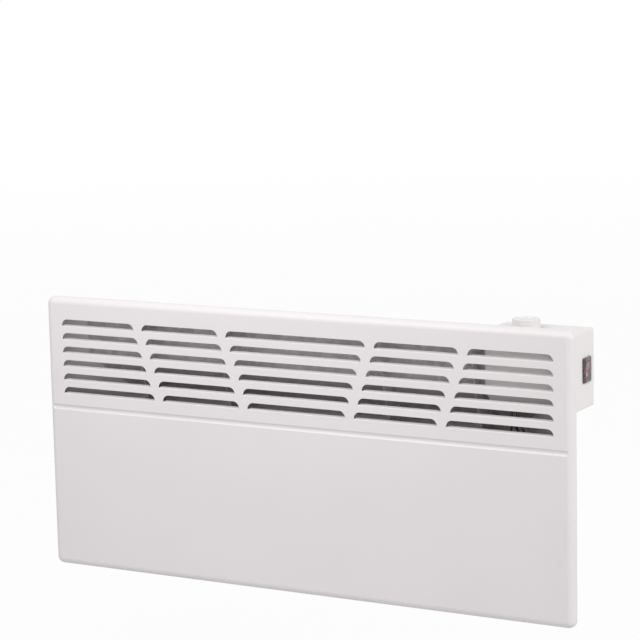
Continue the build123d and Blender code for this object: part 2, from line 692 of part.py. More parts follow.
# --- Control box -------------------------------------------------------------------------------
def lid_screw_places():
    """(x, height) of the four lid screws."""
    inset = BOX_WALL + BOSS_RADIUS - 0.4
    return [(x, height) for x in (BOX_LEFT + inset, BOX_RIGHT - inset)
            for height in (BOX_BOTTOM + inset, BOX_TOP - inset)]


def box_shape(inset, depth0, depth1, edge):
    """Block with the box's outline less an inset, its long edges rounded."""
    shape = block(BOX_LEFT + inset, BOX_RIGHT - inset, depth0, depth1, BOX_BOTTOM + inset, BOX_TOP - inset)
    return fillet(shape.edges().filter_by(Axis.Y), edge)


def control_housing():
    """Moulded box, open at the rear, with screw bosses and openings for knob, switch and gland."""
    shell = box_shape(0, BOX_FRONT, LID_FRONT, BOX_EDGE) - box_slope(0)
    hollow = box_shape(BOX_WALL, BOX_FRONT + BOX_WALL, LID_FRONT + 1.0, BOX_EDGE / 2)
    shell -= hollow - box_slope(-BOX_WALL)
    boss_end = LID_FRONT - BOSS_GAP
    for x, height in lid_screw_places():
        shell += bar_y(BOSS_RADIUS, boss_end - BOSS_LENGTH, boss_end, x, height)
        shell -= bar_y(PILOT_HOLE, boss_end - BOSS_LENGTH + BOX_WALL, LID_FRONT, x, height)
    roof = (THERMOSTAT_TOP - 1.0, BOX_TOP + 1.0)
    shell -= bar_z(SHAFT_RADIUS + 2 * CLEAR, *roof, KNOB_X, KNOB_DEPTH)
    for side in (-1, 1):
        x = KNOB_X + side * THERMOSTAT_SCREW_SPACING / 2
        shell -= bar_z(THERMOSTAT_SCREW + SNUG, *roof, x, KNOB_DEPTH)
        shell -= Pos(x, back(KNOB_DEPTH), up(BOX_TOP) - 0.9) * Cone(2.1, 4.1, 2.0)
    half_width = SWITCH_BODY_WIDTH / 2 + SNUG
    half_height = SWITCH_BODY_HEIGHT / 2 + SNUG
    shell -= block(BOX_RIGHT - BOX_WALL - 1.0, BOX_RIGHT + 1.0, SWITCH_DEPTH - half_width,
                   SWITCH_DEPTH + half_width, SWITCH_HEIGHT - half_height, SWITCH_HEIGHT + half_height)
    floor = (BOX_BOTTOM - 1.0, BOX_BOTTOM + BOX_WALL + 1.0)
    shell -= bar_z(GLAND_RADIUS + SNUG, *floor, GLAND_X, GLAND_DEPTH)
    shell -= grommet_slot(CLEAR)
    for depth, height in housing_screw_places():
        shell -= bar_x(PILOT_HOLE + 0.4, BOX_LEFT - 1.0, BOX_LEFT + BOX_WALL + 1.0, depth, height)
    return shell


def control_cover():
    """Rear lid with a locating rim and four screw holes."""
    rim = 3.0
    lid = box_shape(0, LID_FRONT, CASING_BACK, BOX_EDGE)
    lid += box_shape(BOX_WALL + CLEAR, LID_FRONT - rim, LID_FRONT, BOX_EDGE / 2)
    lid -= box_shape(BOX_WALL + CLEAR + 1.6, LID_FRONT - rim - 1.0, LID_FRONT, BOX_EDGE / 3)
    for x, height in lid_screw_places():
        lid -= bar_y(PILOT_HOLE + 0.4, LID_FRONT - rim - 1.0, CASING_BACK + 1.0, x, height)
    return lid


def cover_screws():
    """Pan-head screws through the lid into the bosses."""
    screw = pan_screw(PILOT_HOLE - SNUG, BOX_LID + BOSS_GAP + 8.0, SCREW_HEAD, 1.8)
    return [Pos(x, back(CASING_BACK), up(height)) * Rot(-90, 0, 0) * screw
            for x, height in lid_screw_places()]


def housing_screws():
    """Screws from inside the box into the casing's recess wall."""
    seat = BOX_LEFT + BOX_WALL
    screw = pan_screw(PILOT_HOLE - SNUG, BOX_WALL + SHEET + CLEAR + 1.5, SCREW_HEAD, 1.8)
    return [Pos(seat, back(depth), up(height)) * Rot(0, 90, 0) * screw
            for depth, height in housing_screw_places()]


# --- Thermostat ----------------------------------------------------------------------------------
def thermostat_body():
    """Capillary thermostat: mounting plate, moulded body, blade tabs and shaft bearing."""
    top = THERMOSTAT_TOP
    half_width = THERMOSTAT_WIDTH / 2
    half_thickness = THERMOSTAT_THICKNESS / 2
    plate = block(KNOB_X - half_width - 2.0, KNOB_X + half_width + 2.0, KNOB_DEPTH - half_width / 2,
                  KNOB_DEPTH + half_width / 2, top - THERMOSTAT_PLATE, top)
    plate = fillet(plate.edges().filter_by(Axis.Z), 4.0)
    body = block(KNOB_X - half_width, KNOB_X + half_width, KNOB_DEPTH - half_thickness,
                 KNOB_DEPTH + half_thickness, THERMOSTAT_LOW, top - THERMOSTAT_PLATE)
    body = fillet(body.edges().filter_by(Axis.Z), 2.0) + plate
    body -= bar_z(SHAFT_RADIUS + RUNNING, top - THERMOSTAT_BORE, top + 1.0, KNOB_X, KNOB_DEPTH)
    tab_low = top - THERMOSTAT_TAB_DROP
    for side in (-1, 1):
        x = KNOB_X + side * THERMOSTAT_SCREW_SPACING / 2
        body -= bar_z(THERMOSTAT_SCREW + SNUG, top - 8.0, top + 1.0, x, KNOB_DEPTH)
        depth = KNOB_DEPTH + side * THERMOSTAT_TAB_DEPTH
        body += block(KNOB_X + half_width - 1.0, KNOB_X + half_width + TAB_LENGTH, depth - TAB_WIDTH / 2,
                      depth + TAB_WIDTH / 2, tab_low, tab_low + TAB_THICKNESS)
    return body


def thermostat_screws():
    """Countersunk screws, flush with the box's top and hidden by the knob."""
    screws = []
    for side in (-1, 1):
        x = KNOB_X + side * THERMOSTAT_SCREW_SPACING / 2
        shank = bar_z(THERMOSTAT_SCREW, THERMOSTAT_TOP - 6.0, BOX_TOP - 1.5, x, KNOB_DEPTH)
        head = Pos(x, back(KNOB_DEPTH), up(BOX_TOP) - 1.0) * Cone(2.0, 3.7, 1.8)
        screws.append(shank + head - Pos(x, back(KNOB_DEPTH), up(BOX_TOP)) * cross_recess(3.8, 0.9, 1.4))
    return screws


def thermostat_shaft():
    """Round shaft with a flat on its upper end."""
    low = THERMOSTAT_TOP - THERMOSTAT_BORE + 1.0
    high = BOX_TOP + KNOB_ROOF - CLEAR
    shaft = bar_z(SHAFT_RADIUS, low, high, KNOB_X, KNOB_DEPTH)
    reach = 2 * SHAFT_RADIUS
    flat = block(KNOB_X - reach, KNOB_X + reach, KNOB_DEPTH + SHAFT_FLAT, KNOB_DEPTH + reach, BOX_TOP + 1.5,
                 high + 1.0)
    return shaft - flat


def thermostat_knob():
    """Turned cup with a dished top, a pointer bar and a boss with a flat-sided bore."""
    top = KNOB_HEIGHT
    floor = top - KNOB_DISH
    upper = KNOB_RADIUS - KNOB_TAPER
    dish_slope = 1.2
    outline = Polyline(
        (0, KNOB_ROOF), (upper - KNOB_WALL, KNOB_ROOF), (KNOB_RADIUS - KNOB_WALL, KNOB_GAP),
        (KNOB_RADIUS, KNOB_GAP), (upper, top), (KNOB_DISH_RADIUS, top), (KNOB_DISH_RADIUS - dish_slope, floor),
        (0, floor), close=True)
    cup = revolve(Plane.XZ * make_face(outline), Axis.Z)
    cup = fillet(cup.edges().filter_by(GeomType.CIRCLE).group_by(Axis.Z)[-1], KNOB_EDGE)
    boss_low = KNOB_GAP + 1.0
    boss_high = KNOB_ROOF + KNOB_WALL / 2
    boss = Pos(0, 0, (boss_low + boss_high) / 2) * Cylinder(SHAFT_RADIUS + 2.0, boss_high - boss_low)
    pointer_length = KNOB_DISH_RADIUS - 6.0
    pointer = Pos(0, 2.0 - pointer_length, floor + 0.4) * Box(1.8, pointer_length, 1.0)
    pointer = fillet(pointer.edges().filter_by(Axis.Z), 0.8)
    bore = Pos(0, 0, KNOB_ROOF / 2) * Cylinder(SHAFT_RADIUS + RUNNING, KNOB_ROOF)
    key = 2 * SHAFT_RADIUS
    bore -= Pos(0, SHAFT_FLAT + RUNNING + key / 2, KNOB_ROOF / 2) * Box(2 * key, key, 2 * KNOB_ROOF)
    return Pos(KNOB_X, back(KNOB_DEPTH), up(BOX_TOP)) * (cup + boss + pointer - bore)


# --- Room sensor -----------------------------------------------------------------------------------
def sensor_bulb():
    """Sealed bulb of the thermostat, in the air that enters the casing."""
    bulb = bar_z(BULB_RADIUS, BULB_BOTTOM, BULB_TOP, BULB_X, BULB_DEPTH)
    return fillet(bulb.edges().filter_by(GeomType.CIRCLE), BULB_RADIUS * 0.6)


def bulb_clip():
    """Folded clip on the back wall that grips the bulb."""
    low = BULB_BOTTOM + BULB_LENGTH / 2 - 6.0
    high = BULB_BOTTOM + BULB_LENGTH / 2 + 6.0
    clip = bar_z(BULB_RADIUS + SNUG + PLATE, low, high, BULB_X, BULB_DEPTH)
    clip += block(BULB_X - PLATE / 2, BULB_X + PLATE / 2, BULB_DEPTH, REAR_WALL, low, high)
    clip += block(BULB_X - 7.0, BULB_X + 7.0, REAR_WALL - PLATE, REAR_WALL, low, high)
    clip -= bar_z(BULB_RADIUS + SNUG, low - 1.0, high + 1.0, BULB_X, BULB_DEPTH)
    mouth = BULB_RADIUS * 0.8
    return clip - block(BULB_X - mouth, BULB_X + mouth, BULB_DEPTH - 3 * BULB_RADIUS, BULB_DEPTH, low - 1.0,
                        high + 1.0)


# --- Switch ------------------------------------------------------------------------------------------
def switch_block(inset, x0, x1, width, height, corner):
    """Block on the switch's axis, its edges along X rounded."""
    half_width = width / 2 - inset
    half_height = height / 2 - inset
    shape = block(x0, x1, SWITCH_DEPTH - half_width, SWITCH_DEPTH + half_width, SWITCH_HEIGHT - half_height,
                  SWITCH_HEIGHT + half_height)
    return fillet(shape.edges().filter_by(Axis.X), corner)


def switch_frame():
    """Bezel and body in one moulding, with a well for the rocker and its pivot sockets."""
    bezel_end = BOX_RIGHT + BEZEL_STAND
    bezel = switch_block(COVER_WALL + CLEAR, BOX_RIGHT, bezel_end, COVER_WIDTH, COVER_HEIGHT, 2.5)
    body = switch_block(0, BOX_RIGHT - SWITCH_BODY_LENGTH, BOX_RIGHT + BEZEL_STAND / 2, SWITCH_BODY_WIDTH,
                        SWITCH_BODY_HEIGHT, 0.8)
    well_width = ROCKER_WIDTH + 2 * CLEAR
    well = switch_block(0, PIVOT_X - 2 * ROCKER_BACK, BOX_RIGHT + 2 * BEZEL_STAND, well_width,
                        2 * (ROCKER_REACH + CLEAR), 0.5)
    socket = well_width / 2 + AXLE_LENGTH + RUNNING
    well += bar_y(PIVOT_RADIUS + RUNNING, SWITCH_DEPTH - socket, SWITCH_DEPTH + socket, PIVOT_X, SWITCH_HEIGHT)
    return bezel + body - well


def rocker_outline():
    """Section of the rocker across its pivot, at mid-travel: (x, z) from the pivot."""
    half_angle = math.degrees(math.asin(ROCKER_FRONT / ROCKER_REACH))
    low_angle = math.degrees(math.asin(ROCKER_BACK / ROCKER_REACH))

    def on_arc(angle, side):
        reach = ROCKER_REACH * math.cos(math.radians(angle))
        return ROCKER_REACH * math.sin(math.radians(angle)), side * reach

    middle = (half_angle - low_angle) / 2
    upper = ThreePointArc(on_arc(-low_angle, 1), on_arc(middle, 1), on_arc(half_angle, 1))
    lower = ThreePointArc(on_arc(half_angle, -1), on_arc(middle, -1), on_arc(-low_angle, -1))
    front_top = Line(on_arc(half_angle, 1), (ROCKER_FRONT - ROCKER_DIP, 0))
    front_low = Line((ROCKER_FRONT - ROCKER_DIP, 0), on_arc(half_angle, -1))
    rear = Line(on_arc(-low_angle, -1), on_arc(-low_angle, 1))
    return make_face([upper, front_top, front_low, lower, rear])


def switch_rocker():
    """Rocker with a shallow V face, tilted to its off position, on two stub axles."""
    section = Plane.XZ * rocker_outline()
    body = Pos(0, ROCKER_WIDTH / 2, 0) * extrude(section, amount=ROCKER_WIDTH)
    axle = Rot(90, 0, 0) * Cylinder(PIVOT_RADIUS, ROCKER_WIDTH + 2 * CLEAR + 2 * AXLE_LENGTH)
    rocker = Rot(0, ROCKER_TILT, 0) * (body + axle)
    return Pos(PIVOT_X, back(SWITCH_DEPTH), up(SWITCH_HEIGHT)) * rocker


def switch_cover():
    """Clear splash cover: a thin rounded cap over the bezel, open towards the box."""
    cap = switch_block(0, BOX_RIGHT, BOX_RIGHT + COVER_STAND, COVER_WIDTH, COVER_HEIGHT, COVER_CORNER)
    cap = fillet(cap.edges().group_by(Axis.X)[-1], 1.5)
    hollow = switch_block(COVER_WALL, BOX_RIGHT - 1.0, BOX_RIGHT + COVER_STAND - COVER_WALL, COVER_WIDTH,
                          COVER_HEIGHT, COVER_CORNER - COVER_WALL)
    return cap - hollow


def switch_terminals():
    """Two blade tabs at the rear of the switch body."""
    rear = BOX_RIGHT - SWITCH_BODY_LENGTH
    tabs = []
    for side in (-1, 1):
        height = SWITCH_HEIGHT + side * SWITCH_TAB_DROP
        tabs.append(block(rear - TAB_LENGTH, rear, SWITCH_DEPTH - TAB_WIDTH / 2, SWITCH_DEPTH + TAB_WIDTH / 2,
                          height - TAB_THICKNESS / 2, height + TAB_THICKNESS / 2))
    return tabs


# --- Mains inlet ----------------------------------------------------------------------------------------
def cable_gland():
    """Gland in the box's floor: thread inside, hexagon and domed cap below, bore for the cord."""
    floor = BOX_BOTTOM
    hex_low = floor - GLAND_HEX_HEIGHT
    top = floor + BOX_WALL + NUT_THICKNESS + 1.0
    low = floor - GLAND_LENGTH + 2.0
    thread = bar_z(GLAND_RADIUS, floor, top, GLAND_X, GLAND_DEPTH)
    hexagon = extrude(RegularPolygon(GLAND_HEX, 6, major_radius=False), amount=GLAND_HEX_HEIGHT)
    hexagon = Pos(GLAND_X, back(GLAND_DEPTH), up(hex_low)) * hexagon
    cap = bar_z(GLAND_RADIUS + 1.0, low, hex_low + 1.0, GLAND_X, GLAND_DEPTH)
    cap = fillet(cap.edges().group_by(Axis.Z)[0], 2.0)
    return thread + hexagon + cap - bar_z(GLAND_BORE, low - 1.0, top + 1.0, GLAND_X, GLAND_DEPTH)


def gland_nut():
    """Locknut inside the box."""
    low = BOX_BOTTOM + BOX_WALL
    nut = extrude(RegularPolygon(GLAND_HEX, 6, major_radius=False), amount=NUT_THICKNESS)
    nut = Pos(GLAND_X, back(GLAND_DEPTH), up(low)) * nut
    return nut - bar_z(GLAND_RADIUS + SNUG, low - 1.0, low + NUT_THICKNESS + 1.0, GLAND_X, GLAND_DEPTH)


def pole_x(pole):
    """X of one pole of the terminal block."""
    return BLOCK_X + (pole - (BLOCK_POLES - 1) / 2) * POLE_PITCH


def terminal_block():
    """Screw block on the box's front wall, with a wire hole and two clamp wells in each pole."""
    rear = BOX_FRONT + BOX_WALL
    front = rear + BLOCK_DEPTH
    top = BLOCK_HEIGHT + BLOCK_TALL
    half = BLOCK_POLES * POLE_PITCH / 2
    body = block(BLOCK_X - half, BLOCK_X + half, rear, front, BLOCK_HEIGHT, top)
    for pole in range(BLOCK_POLES):
        x = pole_x(pole)
        body -= bar_z(POLE_HOLE, BLOCK_HEIGHT - 1.0, top + 1.0, x, rear + POLE_DEPTH)
        for level in CLAMP_LEVELS:
            body -= bar_y(CLAMP_WELL, rear + POLE_DEPTH + 2.0, front + 1.0, x, BLOCK_HEIGHT + level)
        if pole:
            groove = x - POLE_PITCH / 2
            body -= block(groove - 0.6, groove + 0.6, rear + 10.0, front + 1.0, BLOCK_HEIGHT - 1.0, top + 1.0)
    return body


def terminal_screws():
    """Clamp screws in the block's wells."""
    rear = BOX_FRONT + BOX_WALL
    head = rear + BLOCK_DEPTH - 2.0
    screws = []
    for pole in range(BLOCK_POLES):
        x = pole_x(pole)
        for level in CLAMP_LEVELS:
            height = BLOCK_HEIGHT + level
            screw = bar_y(CLAMP_WELL - 2 * SNUG, rear + POLE_DEPTH + POLE_HOLE + 0.2, head, x, height)
            slot = block(x - CLAMP_WELL, x + CLAMP_WELL, head - 1.0, head + 1.0, height - 0.4, height + 0.4)
            screws.append(screw - slot)
    return screws


def grommet_x(number):
    """X of one of the ways through the grommet."""
    return GROMMET_X + (number - (LEAD_WAYS - 1) / 2) * LEAD_PITCH


def lead_grommet():
    """Rubber bush through the box's floor and the casing, with a lip on each side."""
    low = BOX_BOTTOM - CLEAR - SHEET
    high = BOX_BOTTOM + BOX_WALL
    sleeve = grommet_slot(CLEAR - SNUG)
    lips = offset(grommet_slot(0), GROMMET_OVERLAP)

    def slice_of(shape, bottom, top):
        """The part of a shape between two heights."""
        return shape & block(BOX_LEFT, BOX_RIGHT, 0, FACE_TO_WALL, bottom, top)

    bush = slice_of(sleeve, low, high)
    bush += slice_of(lips, low - GROMMET_LIP, low) + slice_of(lips, high, high + GROMMET_LIP)
    for number in range(LEAD_WAYS):
        bush -= bar_z(LEAD_RADIUS + SNUG, low - 2 * GROMMET_LIP, high + 2 * GROMMET_LIP, grommet_x(number),
                      GROMMET_DEPTH)
    return bush


# --- Leads -------------------------------------------------------------------------------------------------
def lead(points, radii, radius=LEAD_RADIUS):
    """Round lead along (x, depth, height) points, with one bend radius for each inner point."""
    places = [(x, back(depth), up(height)) for x, depth, height in points]
    path = FilletPolyline(*places, radius=radii)
    start = Plane(origin=path @ 0, z_dir=path % 0)
    return sweep(start * Circle(radius), path=path)


def grommet_drop(number, above, below):
    """Two points of a lead that passes straight down through one way of the grommet."""
    x = grommet_x(number)
    return [(x, GROMMET_DEPTH, BOX_BOTTOM + above), (x, GROMMET_DEPTH, BOX_BOTTOM - below)]


def pole_top(pole):
    """Start of a lead inside the top of one pole of the terminal block."""
    return pole_x(pole), BOX_FRONT + BOX_WALL + POLE_DEPTH, BLOCK_HEIGHT + BLOCK_TALL - 5.0


def switch_tab(side, away):
    """Point in line with one switch tab, this far from its end."""
    x = BOX_RIGHT - SWITCH_BODY_LENGTH - TAB_LENGTH - SNUG - away
    return x, SWITCH_DEPTH, SWITCH_HEIGHT + side * SWITCH_TAB_DROP


def thermostat_tab(side, away):
    """Point in line with one thermostat tab, this far from its end."""
    x = KNOB_X + THERMOSTAT_WIDTH / 2 + TAB_LENGTH + SNUG + away
    height = THERMOSTAT_TOP - THERMOSTAT_TAB_DROP + TAB_THICKNESS / 2
    return x, KNOB_DEPTH + side * THERMOSTAT_TAB_DEPTH, height


def cutout_tab(side, away):
    """Point in line with one tab of the overheat cutout, this far from its end."""
    x = ELEMENT_BRACKET_X + PLATE / 2 + CUTOUT_LENGTH + TAB_LENGTH + SNUG + away
    return x, CUTOUT_DEPTH + side * CUTOUT_TAB_DEPTH, CUTOUT_HEIGHT


def rod_tab(side, away):
    """Point in line with one rod terminal, this far from its end."""
    x = ELEMENT_BRACKET_X + ROD_OVERHANG + FERRULE_LENGTH + TAB_LENGTH + 2 * SNUG + away
    return side * x, ELEMENT_DEPTH, ELEMENT_HEIGHT + PIN_RADIUS + SNUG + TAB_THICKNESS / 2


def lead_supply():
    """Live lead from the terminal block, under the thermostat, to the switch."""
    start = pole_top(0)
    level = THERMOSTAT_LOW - 9.0
    turn = moved(start, height=level - 3.0 - start[2])
    points = [start, turn, (KNOB_X - 12.0, KNOB_DEPTH - 7.0, level), (KNOB_X + 12.0, KNOB_DEPTH + 1.0, level),
              switch_tab(1, 16.0), switch_tab(1, 0)]
    return lead(points, [6.0, 14.0, 14.0, 10.0])


def lead_switched():
    """Live lead from the switch to the thermostat."""
    low = switch_tab(-1, 12.0)
    high = thermostat_tab(1, 18.0)
    points = [switch_tab(-1, 0), low, moved(low, -6.0, -11.5, 9.0), moved(high, 0, -2.0, -16.0), high,
              thermostat_tab(1, 0)]
    return lead(points, [5.0, 7.0, 8.0, 6.0])


def lead_heater():
    """Live lead from the thermostat down to the overheat cutout."""
    high = thermostat_tab(-1, 12.0)
    drop = grommet_drop(0, 6.0, 25.0)
    points = [thermostat_tab(-1, 0), high, moved(high, height=-24.0), moved(drop[0], 35.0, 10.0, 29.0),
              moved(drop[0], 1.0, 10.0, 17.0)]
    points += drop + [cutout_tab(-1, 14.0), cutout_tab(-1, 0)]
    return lead(points, [6.0, 12.0, 16.0, 6.0, 8.0, 14.0, 8.0])


def lead_cutout():
    """Live lead from the cutout to the element's right end."""
    high = cutout_tab(1, 17.0)
    low = rod_tab(1, 17.0)
    bend = (low[0], (high[1] + low[1]) / 2, high[2] - (high[2] - low[2]) * 0.3)
    return lead([cutout_tab(1, 0), high, bend, low, rod_tab(1, 0)], [10.0, 20.0, 8.0])


def lead_neutral():
    """Neutral lead from the terminal block along the casing's foot to the element's left end."""
    depth = REAR_WALL - LEAD_RADIUS - CLEAR
    side_x = ELEMENT_BRACKET_X + 23.0
    start = pole_top(2)
    drop = grommet_drop(3, 37.0, 25.0)
    end = rod_tab(-1, 16.0)
    points = [start, moved(start, height=11.0), moved(start, -1.0, 15.5, 11.0)] + drop
    points += [moved(drop[1], 12.0, 16.0, -36.0), (NEUTRAL_X, depth, drop[1][2] - 80.0),
               (NEUTRAL_X, depth, NEUTRAL_HEIGHT + 22.0), (side_x, depth, NEUTRAL_HEIGHT),
               (-side_x, depth, NEUTRAL_HEIGHT), (-side_x - 22.0, depth - 7.0, NEUTRAL_HEIGHT + 26.0),
               moved(end, -3.0, 4.0, -24.0), end, rod_tab(-1, 0)]
    return lead(points, [5.0, 6.0, 20.0, 20.0, 30.0, 30.0, 20.0, 20.0, 20.0, 20.0, 12.0, 8.0])


def lead_earth():
    """Earth lead from the terminal block to the screw on the casing's back wall."""
    depth = REAR_WALL - LEAD_RADIUS - SNUG
    start = pole_top(1)
    points = [start, moved(start, height=11.0), moved(start, 0, 15.5, 11.0)] + grommet_drop(1, 37.0, 29.0)
    points += [(GROMMET_X, GROMMET_DEPTH + 18.0, EARTH_HEIGHT + 44.0), (EARTH_X, depth, EARTH_HEIGHT + 26.0),
               (EARTH_X, depth, EARTH_HEIGHT + EARTH_WASHER_RADIUS + SNUG)]
    return lead(points, [5.0, 6.0, 20.0, 12.0, 12.0, 12.0])


def capillary_tube():
    """Thin copper tube from the thermostat to the sensor bulb."""
    start = (KNOB_X - 4.0, KNOB_DEPTH + 9.0, THERMOSTAT_LOW - SNUG)
    drop = grommet_drop(2, 7.0, 25.0)
    fall = drop[1][2] - BULB_TOP
    points = [start, moved(start, height=-16.0), moved(drop[0], 8.0, 6.0, 34.0), moved(drop[0], 1.0, 5.0, 14.0)]
    points += drop + [moved(drop[1], 0.5, 4.0, -0.25 * fall),
                      (BULB_X + 6.0, BULB_DEPTH - 2.0, BULB_TOP + 0.4 * fall),
                      (BULB_X, BULB_DEPTH, BULB_TOP + 16.0), (BULB_X, BULB_DEPTH, BULB_TOP + SNUG)]
    return lead(points, [10.0, 16.0, 10.0, 5.0, 12.0, 30.0, 30.0, 10.0], CAPILLARY_RADIUS)


def earth_screw():
    """Screw in the casing's back wall, driven from inside, with a tab washer under its head."""
    seat = REAR_WALL - EARTH_WASHER
    washer = bar_y(EARTH_WASHER_RADIUS, seat, REAR_WALL, EARTH_X, EARTH_HEIGHT)
    screw = pan_screw(PILOT_HOLE - SNUG, SHEET + EARTH_WASHER + 1.0, 3.2, 2.0)
    return washer + Pos(EARTH_X, back(seat), up(EARTH_HEIGHT)) * Rot(90, 0, 0) * screw


# --- Output --------------------------------------------------------------------------------------------------
NODES = {
    "front_panel": front_panel,
    "panel_screws": panel_screws,
    "rear_casing": rear_casing,
    "bracket_upright_left": lambda: bracket_upright(-1),
    "bracket_upright_right": lambda: bracket_upright(1),
    "bracket_crossbar": bracket_crossbar,
    "air_deflector": air_deflector,
    "deflector_ribs": deflector_ribs,
    "element_bracket_left": lambda: element_bracket(-1),
    "element_bracket_right": lambda: element_bracket(1),
    "element_fins": element_fins,
    "heating_rod": heating_rod,
    "element_bushes": lambda: [element_bush(-1), element_bush(1)],
    "rod_terminals": lambda: [rod_terminal(-1), rod_terminal(1)],
    "thermal_cutout": thermal_cutout,
    "cutout_clip": cutout_clip,
    "control_housing": control_housing,
    "control_cover": control_cover,
    "cover_screws": cover_screws,
    "housing_screws": housing_screws,
    "thermostat_body": thermostat_body,
    "thermostat_screws": thermostat_screws,
    "thermostat_shaft": thermostat_shaft,
    "thermostat_knob": thermostat_knob,
    "sensor_bulb": sensor_bulb,
    "bulb_clip": bulb_clip,
    "switch_frame": switch_frame,
    "switch_rocker": switch_rocker,
    "switch_cover": switch_cover,
    "switch_terminals": switch_terminals,
    "cable_gland": cable_gland,
    "gland_nut": gland_nut,
    "terminal_block": terminal_block,
    "terminal_screws": terminal_screws,
    "lead_grommet": lead_grommet,
    "lead_supply": lead_supply,
    "lead_switched": lead_switched,
    "lead_heater": lead_heater,
    "lead_cutout": lead_cutout,
    "lead_neutral": lead_neutral,
    "lead_earth": lead_earth,
    "capillary_tube": capillary_tube,
    "earth_screw": earth_screw,
}


def write_parts():
    """Write one STEP file for each node."""
    os.makedirs("parts", exist_ok=True)
    for name, make in NODES.items():
        made = make()
        solids = made if isinstance(made, list) else [made]
        flat = [solid for piece in solids for solid in piece.solids()]
        shape = flat[0] if len(flat) == 1 else Compound(children=flat)
        export_step(shape, f"parts/{name}.step")


write_parts()
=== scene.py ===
import json
import math

import bmesh
import bpy
from mathutils import Matrix, Vector
from mathutils.bvhtree import BVHTree


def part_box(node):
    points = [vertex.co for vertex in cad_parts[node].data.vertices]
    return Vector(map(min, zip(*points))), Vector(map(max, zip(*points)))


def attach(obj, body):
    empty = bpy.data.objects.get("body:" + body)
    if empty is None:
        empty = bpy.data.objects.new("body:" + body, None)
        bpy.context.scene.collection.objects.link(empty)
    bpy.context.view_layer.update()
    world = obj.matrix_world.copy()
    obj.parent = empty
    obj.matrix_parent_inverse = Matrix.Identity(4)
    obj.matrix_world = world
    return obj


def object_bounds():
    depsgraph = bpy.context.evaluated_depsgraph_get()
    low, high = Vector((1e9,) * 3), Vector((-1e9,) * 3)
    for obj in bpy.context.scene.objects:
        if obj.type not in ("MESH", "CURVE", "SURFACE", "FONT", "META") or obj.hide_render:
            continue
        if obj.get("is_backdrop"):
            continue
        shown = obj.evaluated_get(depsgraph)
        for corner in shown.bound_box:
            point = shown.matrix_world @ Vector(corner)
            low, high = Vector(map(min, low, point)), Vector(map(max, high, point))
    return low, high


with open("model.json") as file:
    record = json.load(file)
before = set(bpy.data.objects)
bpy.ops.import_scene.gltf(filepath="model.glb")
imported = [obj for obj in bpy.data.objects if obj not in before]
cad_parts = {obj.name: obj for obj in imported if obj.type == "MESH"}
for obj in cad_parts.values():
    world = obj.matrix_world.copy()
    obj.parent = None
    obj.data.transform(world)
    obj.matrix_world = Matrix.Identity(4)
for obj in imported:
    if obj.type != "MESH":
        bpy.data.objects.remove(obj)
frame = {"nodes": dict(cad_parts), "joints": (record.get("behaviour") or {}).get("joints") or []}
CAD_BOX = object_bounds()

bl_info = {
    "name": "Wall Panel Convector Heater",
    "version": (1, 0, 0),
    "blender": (4, 5, 0),
    "location": "3D View > Sidebar > Heater",
    "description": "Finishes the packed heater and sets it in a plain studio",
    "category": "Object",
}

MM = 0.001
WHITE = (1.0, 1.0, 1.0, 1.0)
# A Mix node has an A, a B and a Result for each data type; these are the numbers of those for colour.
MIX_A = 6
MIX_B = 7
MIX_RESULT = 2
# Rays that place the printed marks start this far outside a piece.
CLEARANCE = 10 * MM
# The knob's line is centred at this share of the knob's radius.
POINTER_MIDDLE = 0.5
# A printed bar's corners are rounded over this share of its width.
BAR_CORNER = 0.3
RING_STEPS = 32
FLOOR_SIDES = 64
# The paper starts to fade, and is gone, at these shares of the floor's radius.
FADE_START = 0.3
FADE_END = 0.95
# A lead's stripe covers the sides whose normal has at least this share along X.
STRIPE_FACING = 0.66


# --- Colours and small helpers ------------------------------------------------------------------
def srgb(code):
    """Linear colour of an sRGB hex code such as #E4E2E1."""
    levels = [int(code[start:start + 2], 16) / 255 for start in (1, 3, 5)]
    linear = [level / 12.92 if level <= 0.04045 else ((level + 0.055) / 1.055) ** 2.4 for level in levels]
    return (*linear, 1.0)


def shaded(colour, share):
    """The same colour, made darker or lighter by a share of its strength."""
    return (*(min(channel * share, 1.0) for channel in colour[:3]), 1.0)


def per_metre(size_mm):
    """Texture scale at which one feature is this many millimetres wide."""
    return 1.0 / (size_mm * MM)


def add_node(tree, kind, settings=None, values=None, links=None):
    """Adds one shader node; values and links go to its inputs, by name or by number."""
    node = tree.nodes.new(kind)
    for name, value in (settings or {}).items():
        setattr(node, name, value)
    for name, value in (values or {}).items():
        node.inputs[name].default_value = value
    for name, source in (links or {}).items():
        tree.links.new(source, node.inputs[name])
    return node


def start_material(name):
    """New material's node tree and its place on the object, in metres."""
    material = bpy.data.materials.new(name)
    material.use_nodes = True
    tree = material.node_tree
    tree.nodes.clear()
    place = add_node(tree, "ShaderNodeTexCoord").outputs["Object"]
    return material, tree, place


def finish_material(material, tree, shader):
    """Joins the shader to the material's output."""
    add_node(tree, "ShaderNodeOutputMaterial", links={"Surface": shader.outputs[0]})
    return material


def dress(material, *nodes):
    """Puts a material on CAD nodes."""
    for name in nodes:
        part = frame["nodes"][name]
        if not part.material_slots:
            part.data.materials.append(material)
        for slot in part.material_slots:
            slot.material = material


def axes_at(place, right, upward, outward):
    """Matrix with its origin at a place and with the given X, Y and Z axes."""
    return Matrix.Translation(place) @ Matrix((right, upward, outward)).transposed().to_4x4()


def surface_frame(node, start, direction, upward):
    """Matrix of a flat mark where a ray meets a CAD node; its Z stands off the surface."""
    surface = bmesh.new()
    surface.from_mesh(frame["nodes"][node].data)
    place, normal = BVHTree.FromBMesh(surface).ray_cast(start, direction)[:2]
    surface.free()
    upright = (upward - normal * normal.dot(upward)).normalized()
    return axes_at(place, upright.cross(normal), upright, normal)


